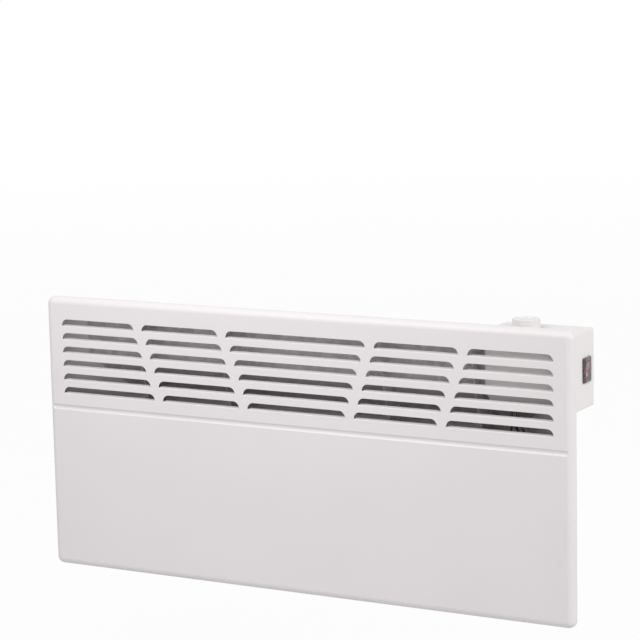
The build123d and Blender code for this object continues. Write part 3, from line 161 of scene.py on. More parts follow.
def print_bar(mesh, place, width, height, ink):
    """Printed bar with rounded corners, half of the ink's thickness sunk into the surface."""
    block = place @ Matrix.Diagonal((width, height, ink, 1.0))
    corners = bmesh.ops.create_cube(mesh, matrix=block)["verts"]
    edges = dict.fromkeys(edge for corner in corners for edge in corner.link_edges)
    # Only the edges that go through the ink are this short.
    upright = [edge for edge in edges if edge.calc_length() < 1.5 * ink]
    bmesh.ops.bevel(mesh, geom=upright, affect="EDGES", offset=width * BAR_CORNER, segments=2, profile=0.5,
                    material=-1)


def print_ring(mesh, place, diameter, line, ink):
    """Printed ring: a small section spun about the mark's own axis."""
    outward = Matrix.Translation(((diameter - line) / 2, 0, 0))
    section = outward @ Matrix.Rotation(math.pi / 2, 4, "X") @ Matrix.Diagonal((line, ink, 1.0, 1.0))
    grid = bmesh.ops.create_grid(mesh, x_segments=1, y_segments=1, size=0.5, matrix=place @ section)
    corners = grid["verts"]
    face = corners[0].link_faces[0]
    edges = list(face.edges)
    bmesh.ops.delete(mesh, geom=[face], context="FACES_ONLY")
    bmesh.ops.spin(mesh, geom=[*corners, *edges], cent=place.translation, axis=place.to_3x3().col[2],
                   angle=2 * math.pi, steps=RING_STEPS, use_merge=True)
    bmesh.ops.remove_doubles(mesh, verts=mesh.verts, dist=ink / 10)


def print_on_dial(mesh, node, middle, angle, reach, width, length, ink):
    """Bar on a node's top that points away from a dial's middle, clockwise by an angle from the front."""
    outward = Vector((-math.sin(angle), -math.cos(angle), 0))
    place = surface_frame(node, middle + outward * reach, Vector((0, 0, -1)), outward)
    print_bar(mesh, place, width, length, ink)


def new_piece(name, mesh, material, body):
    """Object at the origin from a finished bmesh, riding on a body."""
    bmesh.ops.recalc_face_normals(mesh, faces=mesh.faces)
    data = bpy.data.meshes.new(name)
    mesh.to_mesh(data)
    mesh.free()
    data.materials.append(material)
    piece = bpy.data.objects.new(name, data)
    bpy.context.scene.collection.objects.link(piece)
    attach(piece, body)


# --- Materials ----------------------------------------------------------------------------------
def powder_coat(name, colour, roughness):
    """Polyester powder, sprayed and baked: even satin white with a faint orange peel."""
    material, tree, place = start_material(name)
    film = add_node(tree, "ShaderNodeTexNoise", values={"Scale": per_metre(140), "Detail": 2.0},
                    links={"Vector": place})
    tint = add_node(tree, "ShaderNodeMix", {"data_type": "RGBA"},
                    {MIX_A: shaded(colour, 0.97), MIX_B: shaded(colour, 1.02)},
                    {"Factor": film.outputs["Fac"]})
    cloud = add_node(tree, "ShaderNodeTexNoise", values={"Scale": per_metre(22), "Detail": 3.0},
                     links={"Vector": place})
    gloss = add_node(tree, "ShaderNodeMapRange",
                     values={"To Min": roughness - 0.05, "To Max": roughness + 0.06},
                     links={"Value": cloud.outputs["Fac"]})
    # Real orange peel is about 1 mm across, drawn at 2.5 mm so that it shows in the render.
    peel = add_node(tree, "ShaderNodeTexNoise", values={"Scale": per_metre(2.5), "Detail": 2.0},
                    links={"Vector": place})
    bump = add_node(tree, "ShaderNodeBump", values={"Strength": 0.5, "Distance": 0.04 * MM},
                    links={"Height": peel.outputs["Fac"]})
    shader = add_node(tree, "ShaderNodeBsdfPrincipled", values={"IOR": 1.5},
                      links={"Base Color": tint.outputs[MIX_RESULT], "Roughness": gloss.outputs[0],
                             "Normal": bump.outputs[0]})
    return finish_material(material, tree, shader)


def galvanised_steel(colour):
    """Hot-dip zinc on sheet steel: grey crystals of slightly different tone and gloss."""
    material, tree, place = start_material("galvanised_steel")
    drift = add_node(tree, "ShaderNodeTexNoise", values={"Scale": per_metre(12)}, links={"Vector": place})
    # The crystals' outlines wander by up to 4 mm.
    bent = add_node(tree, "ShaderNodeMix", {"data_type": "RGBA", "blend_type": "LINEAR_LIGHT"},
                    {"Factor": 4 * MM}, {MIX_A: place, MIX_B: drift.outputs["Color"]})
    spangle = add_node(tree, "ShaderNodeTexVoronoi", values={"Scale": per_metre(9)},
                       links={"Vector": bent.outputs[MIX_RESULT]})
    crystal = add_node(tree, "ShaderNodeSeparateColor", links={"Color": spangle.outputs["Color"]})
    tone = add_node(tree, "ShaderNodeMix", {"data_type": "RGBA"},
                    {MIX_A: shaded(colour, 0.93), MIX_B: shaded(colour, 1.05)},
                    {"Factor": crystal.outputs["Red"]})
    gloss = add_node(tree, "ShaderNodeMapRange", values={"To Min": 0.8, "To Max": 0.92},
                     links={"Value": crystal.outputs["Green"]})
    shader = add_node(tree, "ShaderNodeBsdfPrincipled", values={"Metallic": 1.0},
                      links={"Base Color": tone.outputs[MIX_RESULT], "Roughness": gloss.outputs[0]})
    return finish_material(material, tree, shader)


def extruded_aluminium(colour):
    """Aluminium pressed through a die: matt grey with fine lines along its length."""
    material, tree, place = start_material("extruded_aluminium")
    # The pattern is drawn out a hundredfold along the body, so that it runs in lines.
    drawn = add_node(tree, "ShaderNodeMapping", values={"Scale": (0.01, 1.0, 1.0)}, links={"Vector": place})
    lines = add_node(tree, "ShaderNodeTexNoise", values={"Scale": per_metre(0.9), "Detail": 3.0},
                     links={"Vector": drawn.outputs[0]})
    tone = add_node(tree, "ShaderNodeMix", {"data_type": "RGBA"},
                    {MIX_A: shaded(colour, 0.88), MIX_B: shaded(colour, 1.06)},
                    {"Factor": lines.outputs["Fac"]})
    gloss = add_node(tree, "ShaderNodeMapRange", values={"To Min": 0.3, "To Max": 0.48},
                     links={"Value": lines.outputs["Fac"]})
    bump = add_node(tree, "ShaderNodeBump", values={"Strength": 0.4, "Distance": 0.05 * MM},
                    links={"Height": lines.outputs["Fac"]})
    shader = add_node(tree, "ShaderNodeBsdfPrincipled", values={"Metallic": 1.0},
                      links={"Base Color": tone.outputs[MIX_RESULT], "Roughness": gloss.outputs[0],
                             "Normal": bump.outputs[0]})
    return finish_material(material, tree, shader)


def drawn_metal(name, colour, second_colour, patch_mm, roughness):
    """Drawn, stamped or plated metal whose colour drifts between two tones in soft patches."""
    material, tree, place = start_material(name)
    patches = add_node(tree, "ShaderNodeTexNoise", values={"Scale": per_metre(patch_mm), "Detail": 3.0},
                       links={"Vector": place})
    tone = add_node(tree, "ShaderNodeMix", {"data_type": "RGBA"}, {MIX_A: colour, MIX_B: second_colour},
                    {"Factor": patches.outputs["Fac"]})
    gloss = add_node(tree, "ShaderNodeMapRange",
                     values={"To Min": roughness - 0.08, "To Max": roughness + 0.1},
                     links={"Value": patches.outputs["Fac"]})
    grain = add_node(tree, "ShaderNodeTexNoise", values={"Scale": per_metre(0.6)}, links={"Vector": place})
    bump = add_node(tree, "ShaderNodeBump", values={"Strength": 0.3, "Distance": 0.01 * MM},
                    links={"Height": grain.outputs["Fac"]})
    shader = add_node(tree, "ShaderNodeBsdfPrincipled", values={"Metallic": 1.0},
                      links={"Base Color": tone.outputs[MIX_RESULT], "Roughness": gloss.outputs[0],
                             "Normal": bump.outputs[0]})
    return finish_material(material, tree, shader)


def moulded_plastic(name, colour, roughness, grain_mm, grain_height_mm, ior=1.53):
    """Moulded plastic or rubber: the grain of its mould and a faint flow of tone."""
    material, tree, place = start_material(name)
    flow = add_node(tree, "ShaderNodeTexNoise",
                    values={"Scale": per_metre(45), "Detail": 2.0, "Distortion": 0.6},
                    links={"Vector": place})
    tint = add_node(tree, "ShaderNodeMix", {"data_type": "RGBA"},
                    {MIX_A: shaded(colour, 0.96), MIX_B: shaded(colour, 1.03)},
                    {"Factor": flow.outputs["Fac"]})
    grain = add_node(tree, "ShaderNodeTexNoise", values={"Scale": per_metre(grain_mm), "Detail": 3.0},
                     links={"Vector": place})
    gloss = add_node(tree, "ShaderNodeMapRange",
                     values={"To Min": roughness - 0.06, "To Max": roughness + 0.06},
                     links={"Value": grain.outputs["Fac"]})
    bump = add_node(tree, "ShaderNodeBump", values={"Strength": 0.5, "Distance": grain_height_mm * MM},
                    links={"Height": grain.outputs["Fac"]})
    shader = add_node(tree, "ShaderNodeBsdfPrincipled", values={"IOR": ior},
                      links={"Base Color": tint.outputs[MIX_RESULT], "Roughness": gloss.outputs[0],
                             "Normal": bump.outputs[0]})
    return finish_material(material, tree, shader)


def steatite(colour):
    """Fired, unglazed steatite: chalky off-white with small dark specks."""
    material, tree, place = start_material("steatite_ceramic")
    specks = add_node(tree, "ShaderNodeTexNoise", values={"Scale": per_metre(0.8), "Detail": 4.0},
                      links={"Vector": place})
    # Only the highest parts of the noise become specks.
    sparse = add_node(tree, "ShaderNodeMapRange", values={"From Min": 0.58, "From Max": 0.72},
                      links={"Value": specks.outputs["Fac"]})
    tone = add_node(tree, "ShaderNodeMix", {"data_type": "RGBA"}, {MIX_A: colour, MIX_B: shaded(colour, 0.7)},
                    {"Factor": sparse.outputs[0]})
    bump = add_node(tree, "ShaderNodeBump", values={"Strength": 0.5, "Distance": 0.03 * MM},
                    links={"Height": specks.outputs["Fac"]})
    shader = add_node(tree, "ShaderNodeBsdfPrincipled", values={"IOR": 1.58, "Roughness": 0.62},
                      links={"Base Color": tone.outputs[MIX_RESULT], "Normal": bump.outputs[0]})
    return finish_material(material, tree, shader)


def red_polycarbonate(colour):
    """Polished see-through red plastic over a neon lamp: deep red that lets some light in."""
    material, tree, place = start_material("red_polycarbonate")
    depth = add_node(tree, "ShaderNodeTexNoise", values={"Scale": per_metre(7), "Detail": 1.0},
                     links={"Vector": place})
    tone = add_node(tree, "ShaderNodeMix", {"data_type": "RGBA"},
                    {MIX_A: shaded(colour, 0.75), MIX_B: shaded(colour, 1.25)},
                    {"Factor": depth.outputs["Fac"]})
    gloss = add_node(tree, "ShaderNodeMapRange", values={"To Min": 0.16, "To Max": 0.28},
                     links={"Value": depth.outputs["Fac"]})
    shader = add_node(tree, "ShaderNodeBsdfPrincipled", values={"IOR": 1.58, "Transmission Weight": 0.2},
                      links={"Base Color": tone.outputs[MIX_RESULT], "Roughness": gloss.outputs[0]})
    return finish_material(material, tree, shader)


def clear_vinyl(colour):
    """Soft clear vinyl cap: see-through face on; where it is seen edge on its white shows more, partly the
    vinyl's own haze and partly a painted reflection.
    """
    material, tree, place = start_material("clear_vinyl")
    haze = add_node(tree, "ShaderNodeTexNoise", values={"Scale": per_metre(5), "Detail": 2.0},
                    links={"Vector": place})
    gloss = add_node(tree, "ShaderNodeMapRange", values={"To Min": 0.06, "To Max": 0.16},
                     links={"Value": haze.outputs["Fac"]})
    # Painted reflection in part: the cap's white base shows more the more edge on the cap is seen, on top of
    # the vinyl's real haze.
    rim = add_node(tree, "ShaderNodeLayerWeight", values={"Blend": 0.12})
    cover = add_node(tree, "ShaderNodeMapRange", values={"To Min": 0.02, "To Max": 0.4},
                     links={"Value": rim.outputs["Facing"]})
    shader = add_node(tree, "ShaderNodeBsdfPrincipled", values={"Base Color": colour, "IOR": 1.52},
                      links={"Roughness": gloss.outputs[0], "Alpha": cover.outputs[0]})
    return finish_material(material, tree, shader)


def phenolic(colour):
    """Pressed phenolic moulding: brown-black with drawn-out flow marks."""
    material, tree, place = start_material("phenolic_moulding")
    flow = add_node(tree, "ShaderNodeTexNoise",
                    values={"Scale": per_metre(6), "Detail": 5.0, "Distortion": 2.5},
                    links={"Vector": place})
    tone = add_node(tree, "ShaderNodeMix", {"data_type": "RGBA"},
                    {MIX_A: shaded(colour, 0.7), MIX_B: shaded(colour, 1.5)},
                    {"Factor": flow.outputs["Fac"]})
    gloss = add_node(tree, "ShaderNodeMapRange", values={"To Min": 0.28, "To Max": 0.42},
                     links={"Value": flow.outputs["Fac"]})
    shader = add_node(tree, "ShaderNodeBsdfPrincipled", values={"IOR": 1.6},
                      links={"Base Color": tone.outputs[MIX_RESULT], "Roughness": gloss.outputs[0]})
    return finish_material(material, tree, shader)


def silicone_lead(name, colour, stripe_colour=None):
    """Extruded silicone insulation: dull, slightly dusty, with a second stripe where one is given."""
    material, tree, place = start_material(name)
    dust = add_node(tree, "ShaderNodeTexNoise", values={"Scale": per_metre(3), "Detail": 4.0},
                    links={"Vector": place})
    tone = add_node(tree, "ShaderNodeMix", {"data_type": "RGBA"},
                    {MIX_A: shaded(colour, 0.85), MIX_B: shaded(colour, 1.15)},
                    {"Factor": dust.outputs["Fac"]})
    surface = tone.outputs[MIX_RESULT]
    if stripe_colour:
        outward = add_node(tree, "ShaderNodeTexCoord").outputs["Normal"]
        sides = add_node(tree, "ShaderNodeSeparateXYZ", links={"Vector": outward})
        spread = add_node(tree, "ShaderNodeMath", {"operation": "ABSOLUTE"}, links={0: sides.outputs["X"]})
        stripe = add_node(tree, "ShaderNodeMath", {"operation": "GREATER_THAN"}, {1: STRIPE_FACING},
                          {0: spread.outputs[0]})
        surface = add_node(tree, "ShaderNodeMix", {"data_type": "RGBA"}, {MIX_B: stripe_colour},
                           {"Factor": stripe.outputs[0], MIX_A: surface}).outputs[MIX_RESULT]
    gloss = add_node(tree, "ShaderNodeMapRange", values={"To Min": 0.48, "To Max": 0.66},
                     links={"Value": dust.outputs["Fac"]})
    shader = add_node(tree, "ShaderNodeBsdfPrincipled", values={"IOR": 1.41},
                      links={"Base Color": surface, "Roughness": gloss.outputs[0]})
    return finish_material(material, tree, shader)


def pad_print(name, colour):
    """Pad-printed ink: thin, dull and a little uneven where the silicone pad let go."""
    material, tree, place = start_material(name)
    cover = add_node(tree, "ShaderNodeTexNoise", values={"Scale": per_metre(0.9), "Detail": 3.0},
                     links={"Vector": place})
    tone = add_node(tree, "ShaderNodeMix", {"data_type": "RGBA"},
                    {MIX_A: shaded(colour, 0.9), MIX_B: shaded(colour, 1.1)},
                    {"Factor": cover.outputs["Fac"]})
    gloss = add_node(tree, "ShaderNodeMapRange", values={"To Min": 0.5, "To Max": 0.68},
                     links={"Value": cover.outputs["Fac"]})
    shader = add_node(tree, "ShaderNodeBsdfPrincipled", values={"IOR": 1.5},
                      links={"Base Color": tone.outputs[MIX_RESULT], "Roughness": gloss.outputs[0]})
    return finish_material(material, tree, shader)


def studio_paper():
    """White paper that fades out into the white world at its rim and is see-through from below."""
    material, tree, place = start_material("studio_paper")
    studio = bpy.context.scene.heater_studio
    tooth = add_node(tree, "ShaderNodeTexNoise", values={"Scale": per_metre(4)}, links={"Vector": place})
    bump = add_node(tree, "ShaderNodeBump", values={"Strength": 0.1, "Distance": 0.05 * MM},
                    links={"Height": tooth.outputs["Fac"]})
    paper = add_node(tree, "ShaderNodeBsdfDiffuse", values={"Color": studio.paper_colour},
                     links={"Normal": bump.outputs[0]})
    rays = add_node(tree, "ShaderNodeLightPath")
    # The camera sees mostly plain white, with a small share of the lit paper and its shadow.
    share = add_node(tree, "ShaderNodeMath", {"operation": "MULTIPLY"}, {1: studio.paper_lift},
                     {0: rays.outputs["Is Camera Ray"]})
    white = add_node(tree, "ShaderNodeEmission", values={"Color": WHITE, "Strength": 1.0})
    lifted = add_node(tree, "ShaderNodeMixShader",
                      links={"Fac": share.outputs[0], 1: paper.outputs[0], 2: white.outputs[0]})
    reach = add_node(tree, "ShaderNodeVectorMath", {"operation": "LENGTH"}, links={0: place})
    rim = add_node(tree, "ShaderNodeMapRange", {"interpolation_type": "SMOOTHSTEP"},
                   {"From Min": studio.floor_radius * FADE_START, "From Max": studio.floor_radius * FADE_END},
                   {"Value": reach.outputs["Value"]})
    underside = add_node(tree, "ShaderNodeNewGeometry").outputs["Backfacing"]
    hidden = add_node(tree, "ShaderNodeMath", {"operation": "MAXIMUM"},
                      links={0: rim.outputs[0], 1: underside})
    gone = add_node(tree, "ShaderNodeBsdfTransparent")
    shader = add_node(tree, "ShaderNodeMixShader",
                      links={"Fac": hidden.outputs[0], 1: lifted.outputs[0], 2: gone.outputs[0]})
    return finish_material(material, tree, shader)


# --- Properties ---------------------------------------------------------------------------------
def colour_choice(name, description, code):
    """Colour property with an sRGB default."""
    return bpy.props.FloatVectorProperty(name=name, description=description, subtype="COLOR", size=4,
                                         min=0.0, max=1.0, default=srgb(code))


def number_choice(name, description, default, **settings):
    """Number property; the settings give its unit or subtype and its limits."""
    return bpy.props.FloatProperty(name=name, description=description, default=default, **settings)


def angle_choice(name, description, degrees):
    """Angle property with its default in degrees."""
    return number_choice(name, description, math.radians(degrees), subtype="ANGLE")


def mark_size(name, description, size_mm):
    """Length property with its default in millimetres."""
    return number_choice(name, description, size_mm * MM, unit="LENGTH", min=0.0)


def lamp_place(name, description, place):
    """Position property in metres."""
    return bpy.props.FloatVectorProperty(name=name, description=description, subtype="TRANSLATION", size=3,
                                         default=place)


def lamp_power(name, description, watts):
    """Power property in watts."""
    return number_choice(name, description, watts, subtype="POWER", min=0.0)


class HeaterColours(bpy.types.PropertyGroup):
    """Colours of the heater's finishes."""
    panel: colour_choice("Panel", "Powder coat of the front panel", "#E7E2E3")
    casing: colour_choice("Casing", "Powder coat of the casing and the wall bracket", "#DCDADA")
    box: colour_choice("Control Box", "Moulded plastic of the control box", "#EAE6E5")
    knob: colour_choice("Knob", "Glossy plastic of the thermostat knob", "#E4E1E0")
    frame: colour_choice("Switch Frame", "Dark nylon of the switch", "#2C2729")
    rocker: colour_choice("Rocker", "Red plastic of the rocker", "#7C1A1C")
    mark: colour_choice("Switch Marks", "Print of the on and off marks", "#E6E0DC")
    scale: colour_choice("Scale", "Print of the knob's scale and its line", "#8C898A")
    cover: colour_choice("Splash Cover", "Clear vinyl over the switch", "#F2F2F3")
    zinc: colour_choice("Zinc", "Galvanised plates inside the casing", "#DCD9DA")
    aluminium: colour_choice("Aluminium", "Extruded fins of the element", "#C9CACB")
    gland: colour_choice("Gland", "Nylon of the mains inlet", "#DAD9D7")


class HeaterSizes(bpy.types.PropertyGroup):
    """Sizes of the printed marks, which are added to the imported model."""
    ink: mark_size("Ink", "Thickness of the print", 0.2)
    mark_height: mark_size("Mark Height", "Height of the on and off marks", 4.0)
    mark_line: mark_size("Mark Line", "Line width of the on and off marks", 0.7)
    pointer_length: mark_size("Pointer Length", "Length of the line on the knob", 8.0)
    pointer_line: mark_size("Pointer Line", "Width of the line on the knob", 1.2)
    tick_line: mark_size("Tick Line", "Line width of the knob's scale", 0.7)
    tick_gap: mark_size("Tick Gap", "Space between the knob and its scale", 1.5)
    tick_short: mark_size("Short Tick", "Length of the scale's first tick", 1.2)
    tick_long: mark_size("Long Tick", "Length of the scale's last tick", 3.6)
    tick_count: bpy.props.IntProperty(name="Ticks", description="Number of ticks on the scale",
                                      default=7, min=2)


class HeaterStudio(bpy.types.PropertyGroup):
    """Camera, lamps and floor."""
    azimuth: angle_choice("Azimuth", "Camera's turn to the heater's right", 29.165)
    elevation: angle_choice("Elevation", "Camera's angle above the horizon", 9.362)
    roll: angle_choice("Roll", "Camera's turn about its own axis", -1.264)
    distance: number_choice("Distance", "Camera's distance from the panel's face", 3.398, subtype="DISTANCE")
    aside: number_choice("Aside", "Camera's step to its right", 32.7 * MM, unit="LENGTH")
    rise: number_choice("Rise", "Camera's step upwards", 188.5 * MM, unit="LENGTH")
    lens: number_choice("Lens", "Focal length in millimetres", 137.14, unit="CAMERA")
    floor_drop: number_choice("Floor Drop", "Floor's distance below the heater", 140.0 * MM, unit="LENGTH")
    floor_radius: number_choice("Floor Radius", "Radius of the paper floor", 9.0, subtype="DISTANCE")
    paper_colour: colour_choice("Paper", "Colour of the floor", "#DCDCDC")
    paper_lift: number_choice("Paper Lift", "Share of the floor that the camera sees as pure white", 0.96,
                              subtype="FACTOR", min=0.0, max=1.0)
    world_light: number_choice("World Light", "Strength of the even light", 0.59, min=0.0)
    key_place: lamp_place("Key Place", "Large lamp above the front", (-0.2, -0.85, 0.95))
    key_power: lamp_power("Key Power", "Power of the large lamp", 7.5)
    side_place: lamp_place("Side Place", "Lamp that lights the control box's side", (2.8, -0.45, 1.1))
    side_power: lamp_power("Side Power", "Power of the side lamp", 28.5)
    lamp_size: number_choice("Lamp Size", "Side of both lamps", 0.9, unit="LENGTH", min=0.0)


# --- Studio -------------------------------------------------------------------------------------
def panel_face_middle():
    """Middle of the front panel's face."""
    low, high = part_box("front_panel")
    return Vector(((low.x + high.x) / 2, low.y, (low.z + high.z) / 2))


def place_camera(scene):
    """Camera that looks at the panel's face, then steps aside and up without turning."""
    studio = scene.heater_studio
    away = Vector((math.sin(studio.azimuth) * math.cos(studio.elevation),
                   -math.cos(studio.azimuth) * math.cos(studio.elevation), math.sin(studio.elevation)))
    level_right = (-away).cross(Vector((0, 0, 1))).normalized()
    level_up = level_right.cross(-away)
    right = level_right * math.cos(studio.roll) + level_up * math.sin(studio.roll)
    upward = level_up * math.cos(studio.roll) - level_right * math.sin(studio.roll)
    place = panel_face_middle() + away * studio.distance + right * studio.aside + upward * studio.rise
    data = bpy.data.cameras.new("camera")
    data.lens = studio.lens
    camera = bpy.data.objects.new("camera", data)
    scene.collection.objects.link(camera)
    camera.matrix_world = axes_at(place, right, upward, away)
    scene.camera = camera


def light_world(scene):
    """White to the camera, in reflections and through clear plastic; an even soft light on the heater."""
    world = bpy.data.worlds.new("studio_world")
    world.use_nodes = True
    tree = world.node_tree
    tree.nodes.clear()
    rays = add_node(tree, "ShaderNodeLightPath")
    seen = add_node(tree, "ShaderNodeMath", {"operation": "MAXIMUM"},
                    links={0: rays.outputs["Is Camera Ray"], 1: rays.outputs["Is Glossy Ray"]})
    seen = add_node(tree, "ShaderNodeMath", {"operation": "MAXIMUM"},
                    links={0: seen.outputs[0], 1: rays.outputs["Is Transmission Ray"]})
    soft = add_node(tree, "ShaderNodeBackground",
                    values={"Color": WHITE, "Strength": scene.heater_studio.world_light})
    white = add_node(tree, "ShaderNodeBackground", values={"Color": WHITE, "Strength": 1.0})
    both = add_node(tree, "ShaderNodeMixShader",
                    links={"Fac": seen.outputs[0], 1: soft.outputs[0], 2: white.outputs[0]})
    add_node(tree, "ShaderNodeOutputWorld", links={"Surface": both.outputs[0]})
    scene.world = world


def hang_lamp(scene, name, place, size, power):
    """Square soft box that faces the panel."""
    data = bpy.data.lights.new(name, "AREA")
    data.size = size
    data.energy = power
    lamp = bpy.data.objects.new(name, data)
    scene.collection.objects.link(lamp)
    place = Vector(place)
    aim = panel_face_middle() - place
    lamp.matrix_world = Matrix.Translation(place) @ aim.to_track_quat("-Z", "Y").to_matrix().to_4x4()


def lay_floor(scene):
    """Round paper floor below the heater."""
    studio = scene.heater_studio
    disc = bmesh.new()
    bmesh.ops.create_circle(disc, cap_ends=True, segments=FLOOR_SIDES, radius=studio.floor_radius)
    bmesh.ops.translate(disc, verts=disc.verts, vec=(0, 0, CAD_BOX[0].z - studio.floor_drop))
    data = bpy.data.meshes.new("floor")
    disc.to_mesh(data)
    disc.free()
    data.materials.append(studio_paper())
    floor = bpy.data.objects.new("floor", data)
    scene.collection.objects.link(floor)
    floor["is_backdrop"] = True


# --- Operators ----------------------------------------------------------------------------------
class HEATER_OT_front_panel(bpy.types.Operator):
    """Powder-coats the pressed front panel"""
    bl_idname = "heater.front_panel"
    bl_label = "Front Panel"

    def execute(self, context):
        coat = powder_coat("panel_powder_coat", context.scene.heater_colours.panel, roughness=0.42)
        dress(coat, "front_panel")
        return {"FINISHED"}


class HEATER_OT_casing(bpy.types.Operator):
    """Powder-coats the rear casing and the wall bracket"""
    bl_idname = "heater.casing"
    bl_label = "Casing and Bracket"

    def execute(self, context):
        coat = powder_coat("casing_powder_coat", context.scene.heater_colours.casing, roughness=0.46)
        dress(coat, "rear_casing", "bracket_upright_left", "bracket_upright_right", "bracket_crossbar")
        return {"FINISHED"}


class HEATER_OT_duct(bpy.types.Operator):
    """Gives the galvanised plates of the air duct their finish"""
    bl_idname = "heater.duct"
    bl_label = "Air Duct"

    def execute(self, context):
        zinc = galvanised_steel(context.scene.heater_colours.zinc)
        dress(zinc, "air_deflector", "deflector_ribs", "element_bracket_left", "element_bracket_right")
        return {"FINISHED"}


class HEATER_OT_element(bpy.types.Operator):
    """Finishes the heating element, its bushes and its terminals"""
    bl_idname = "heater.element"
    bl_label = "Heating Element"

    def execute(self, context):
        dress(extruded_aluminium(context.scene.heater_colours.aluminium), "element_fins")
        # Stainless tube that has been hot: straw and brown oxide over grey.
        tube = drawn_metal("heat_tinted_stainless", srgb("#A99D8E"), srgb("#6E6258"), patch_mm=18,
                           roughness=0.32)
        dress(tube, "heating_rod")
        dress(steatite(srgb("#E9E4D8")), "element_bushes")
        # Stamped brass tabs: warm yellow, a little dull.
        brass = drawn_metal("stamped_brass", srgb("#D2B670"), srgb("#BFA15C"), patch_mm=4, roughness=0.3)
        dress(brass, "rod_terminals", "switch_terminals")
        return {"FINISHED"}


class HEATER_OT_screws(bpy.types.Operator):
    """Zinc-plates the screws and the small clips"""
    bl_idname = "heater.screws"
    bl_label = "Screws and Clips"

    def execute(self, context):
        # Bright zinc plate, passivated: cool silver with a faint yellow-blue drift.
        plate = drawn_metal("zinc_plate", srgb("#C9CCD2"), srgb("#CFCBB9"), patch_mm=3, roughness=0.26)
        dress(plate, "panel_screws", "cover_screws", "housing_screws", "thermostat_screws", "terminal_screws",
              "earth_screw", "cutout_clip", "bulb_clip", "thermostat_shaft")
        return {"FINISHED"}


class HEATER_OT_control_box(bpy.types.Operator):
    """Gives the control box and its lid their moulded grain"""
    bl_idname = "heater.control_box"
    bl_label = "Control Box"

    def execute(self, context):
        # ABS from a spark-eroded mould; the real grain of 0.3 mm is drawn at 1 mm so that it shows.
        abs_plastic = moulded_plastic("textured_abs", context.scene.heater_colours.box, roughness=0.48,
                                      grain_mm=1.0, grain_height_mm=0.03)
        dress(abs_plastic, "control_housing", "control_cover")
        return {"FINISHED"}


class HEATER_OT_knob(bpy.types.Operator):
    """Finishes the thermostat knob"""
    bl_idname = "heater.knob"
    bl_label = "Thermostat Knob"

    def execute(self, context):
        # ABS from a polished mould: clean highlights along the rim.
        abs_plastic = moulded_plastic("polished_abs", context.scene.heater_colours.knob, roughness=0.26,
                                      grain_mm=2.0, grain_height_mm=0.003)
        dress(abs_plastic, "thermostat_knob")
        return {"FINISHED"}


class HEATER_OT_switch(bpy.types.Operator):
    """Finishes the rocker switch and its clear cover"""
    bl_idname = "heater.switch"
    bl_label = "Rocker Switch"

    def execute(self, context):
        colours = context.scene.heater_colours
        # Dyed nylon: nearly black, with a dull sheen.
        nylon = moulded_plastic("dark_nylon", colours.frame, roughness=0.5, grain_mm=0.8,
                                grain_height_mm=0.01)
        dress(nylon, "switch_frame")
        dress(red_polycarbonate(colours.rocker), "switch_rocker")
        dress(clear_vinyl(colours.cover), "switch_cover")
        return {"FINISHED"}


class HEATER_OT_switch_marks(bpy.types.Operator):
    """Prints the on and off marks on the rocker"""
    bl_idname = "heater.switch_marks"
    bl_label = "Switch Marks"

    def execute(self, context):
        sizes = context.scene.heater_sizes
        low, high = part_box("switch_rocker")
        middle = (low + high) / 2
        quarter = Vector((0, 0, (high.z - low.z) / 4))
        outside = Vector((high.x - middle.x + CLEARANCE, 0, 0))
        inwards = Vector((-1, 0, 0))
        upward = Vector((0, 0, 1))
        marks = bmesh.new()
        # The rocker is off at rest, so the ring is on the lower half, which is pressed in.
        off_place = surface_frame("switch_rocker", middle - quarter + outside, inwards, upward)
        print_ring(marks, off_place, sizes.mark_height, sizes.mark_line, sizes.ink)
        on_place = surface_frame("switch_rocker", middle + quarter + outside, inwards, upward)
        print_bar(marks, on_place, sizes.mark_line, sizes.mark_height, sizes.ink)
        new_piece("switch_marks", marks, pad_print("white_ink", context.scene.heater_colours.mark), "rocker")
        return {"FINISHED"}


class HEATER_OT_knob_scale(bpy.types.Operator):
    """Prints the scale around the knob and the line on it"""
    bl_idname = "heater.knob_scale"
    bl_label = "Knob Scale"

    def execute(self, context):
        sizes = context.scene.heater_sizes
        ink = pad_print("grey_ink", context.scene.heater_colours.scale)
        low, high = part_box("thermostat_knob")
        top = Vector(((low.x + high.x) / 2, (low.y + high.y) / 2, high.z + CLEARANCE))
        knob_radius = (high.x - low.x) / 2
        travel = next(math.radians(joint["range_deg"][1]) for joint in frame["joints"]
                      if joint["name"] == "knob_turn")
        # The unused part of the turn faces the front, and the knob turns clockwise seen from above.
        first = math.pi - travel / 2
        pointer = bmesh.new()
        print_on_dial(pointer, "thermostat_knob", top, first, knob_radius * POINTER_MIDDLE,
                      sizes.pointer_line, sizes.pointer_length, sizes.ink)
        new_piece("knob_pointer", pointer, ink, "knob")
        ticks = bmesh.new()
        for number in range(sizes.tick_count):
            share = number / (sizes.tick_count - 1)
            length = sizes.tick_short + (sizes.tick_long - sizes.tick_short) * share
            reach = knob_radius + sizes.tick_gap + length / 2
            print_on_dial(ticks, "control_housing", top, first + travel * share, reach,
                          sizes.tick_line, length, sizes.ink)
        new_piece("knob_scale", ticks, ink, "heater")
        return {"FINISHED"}


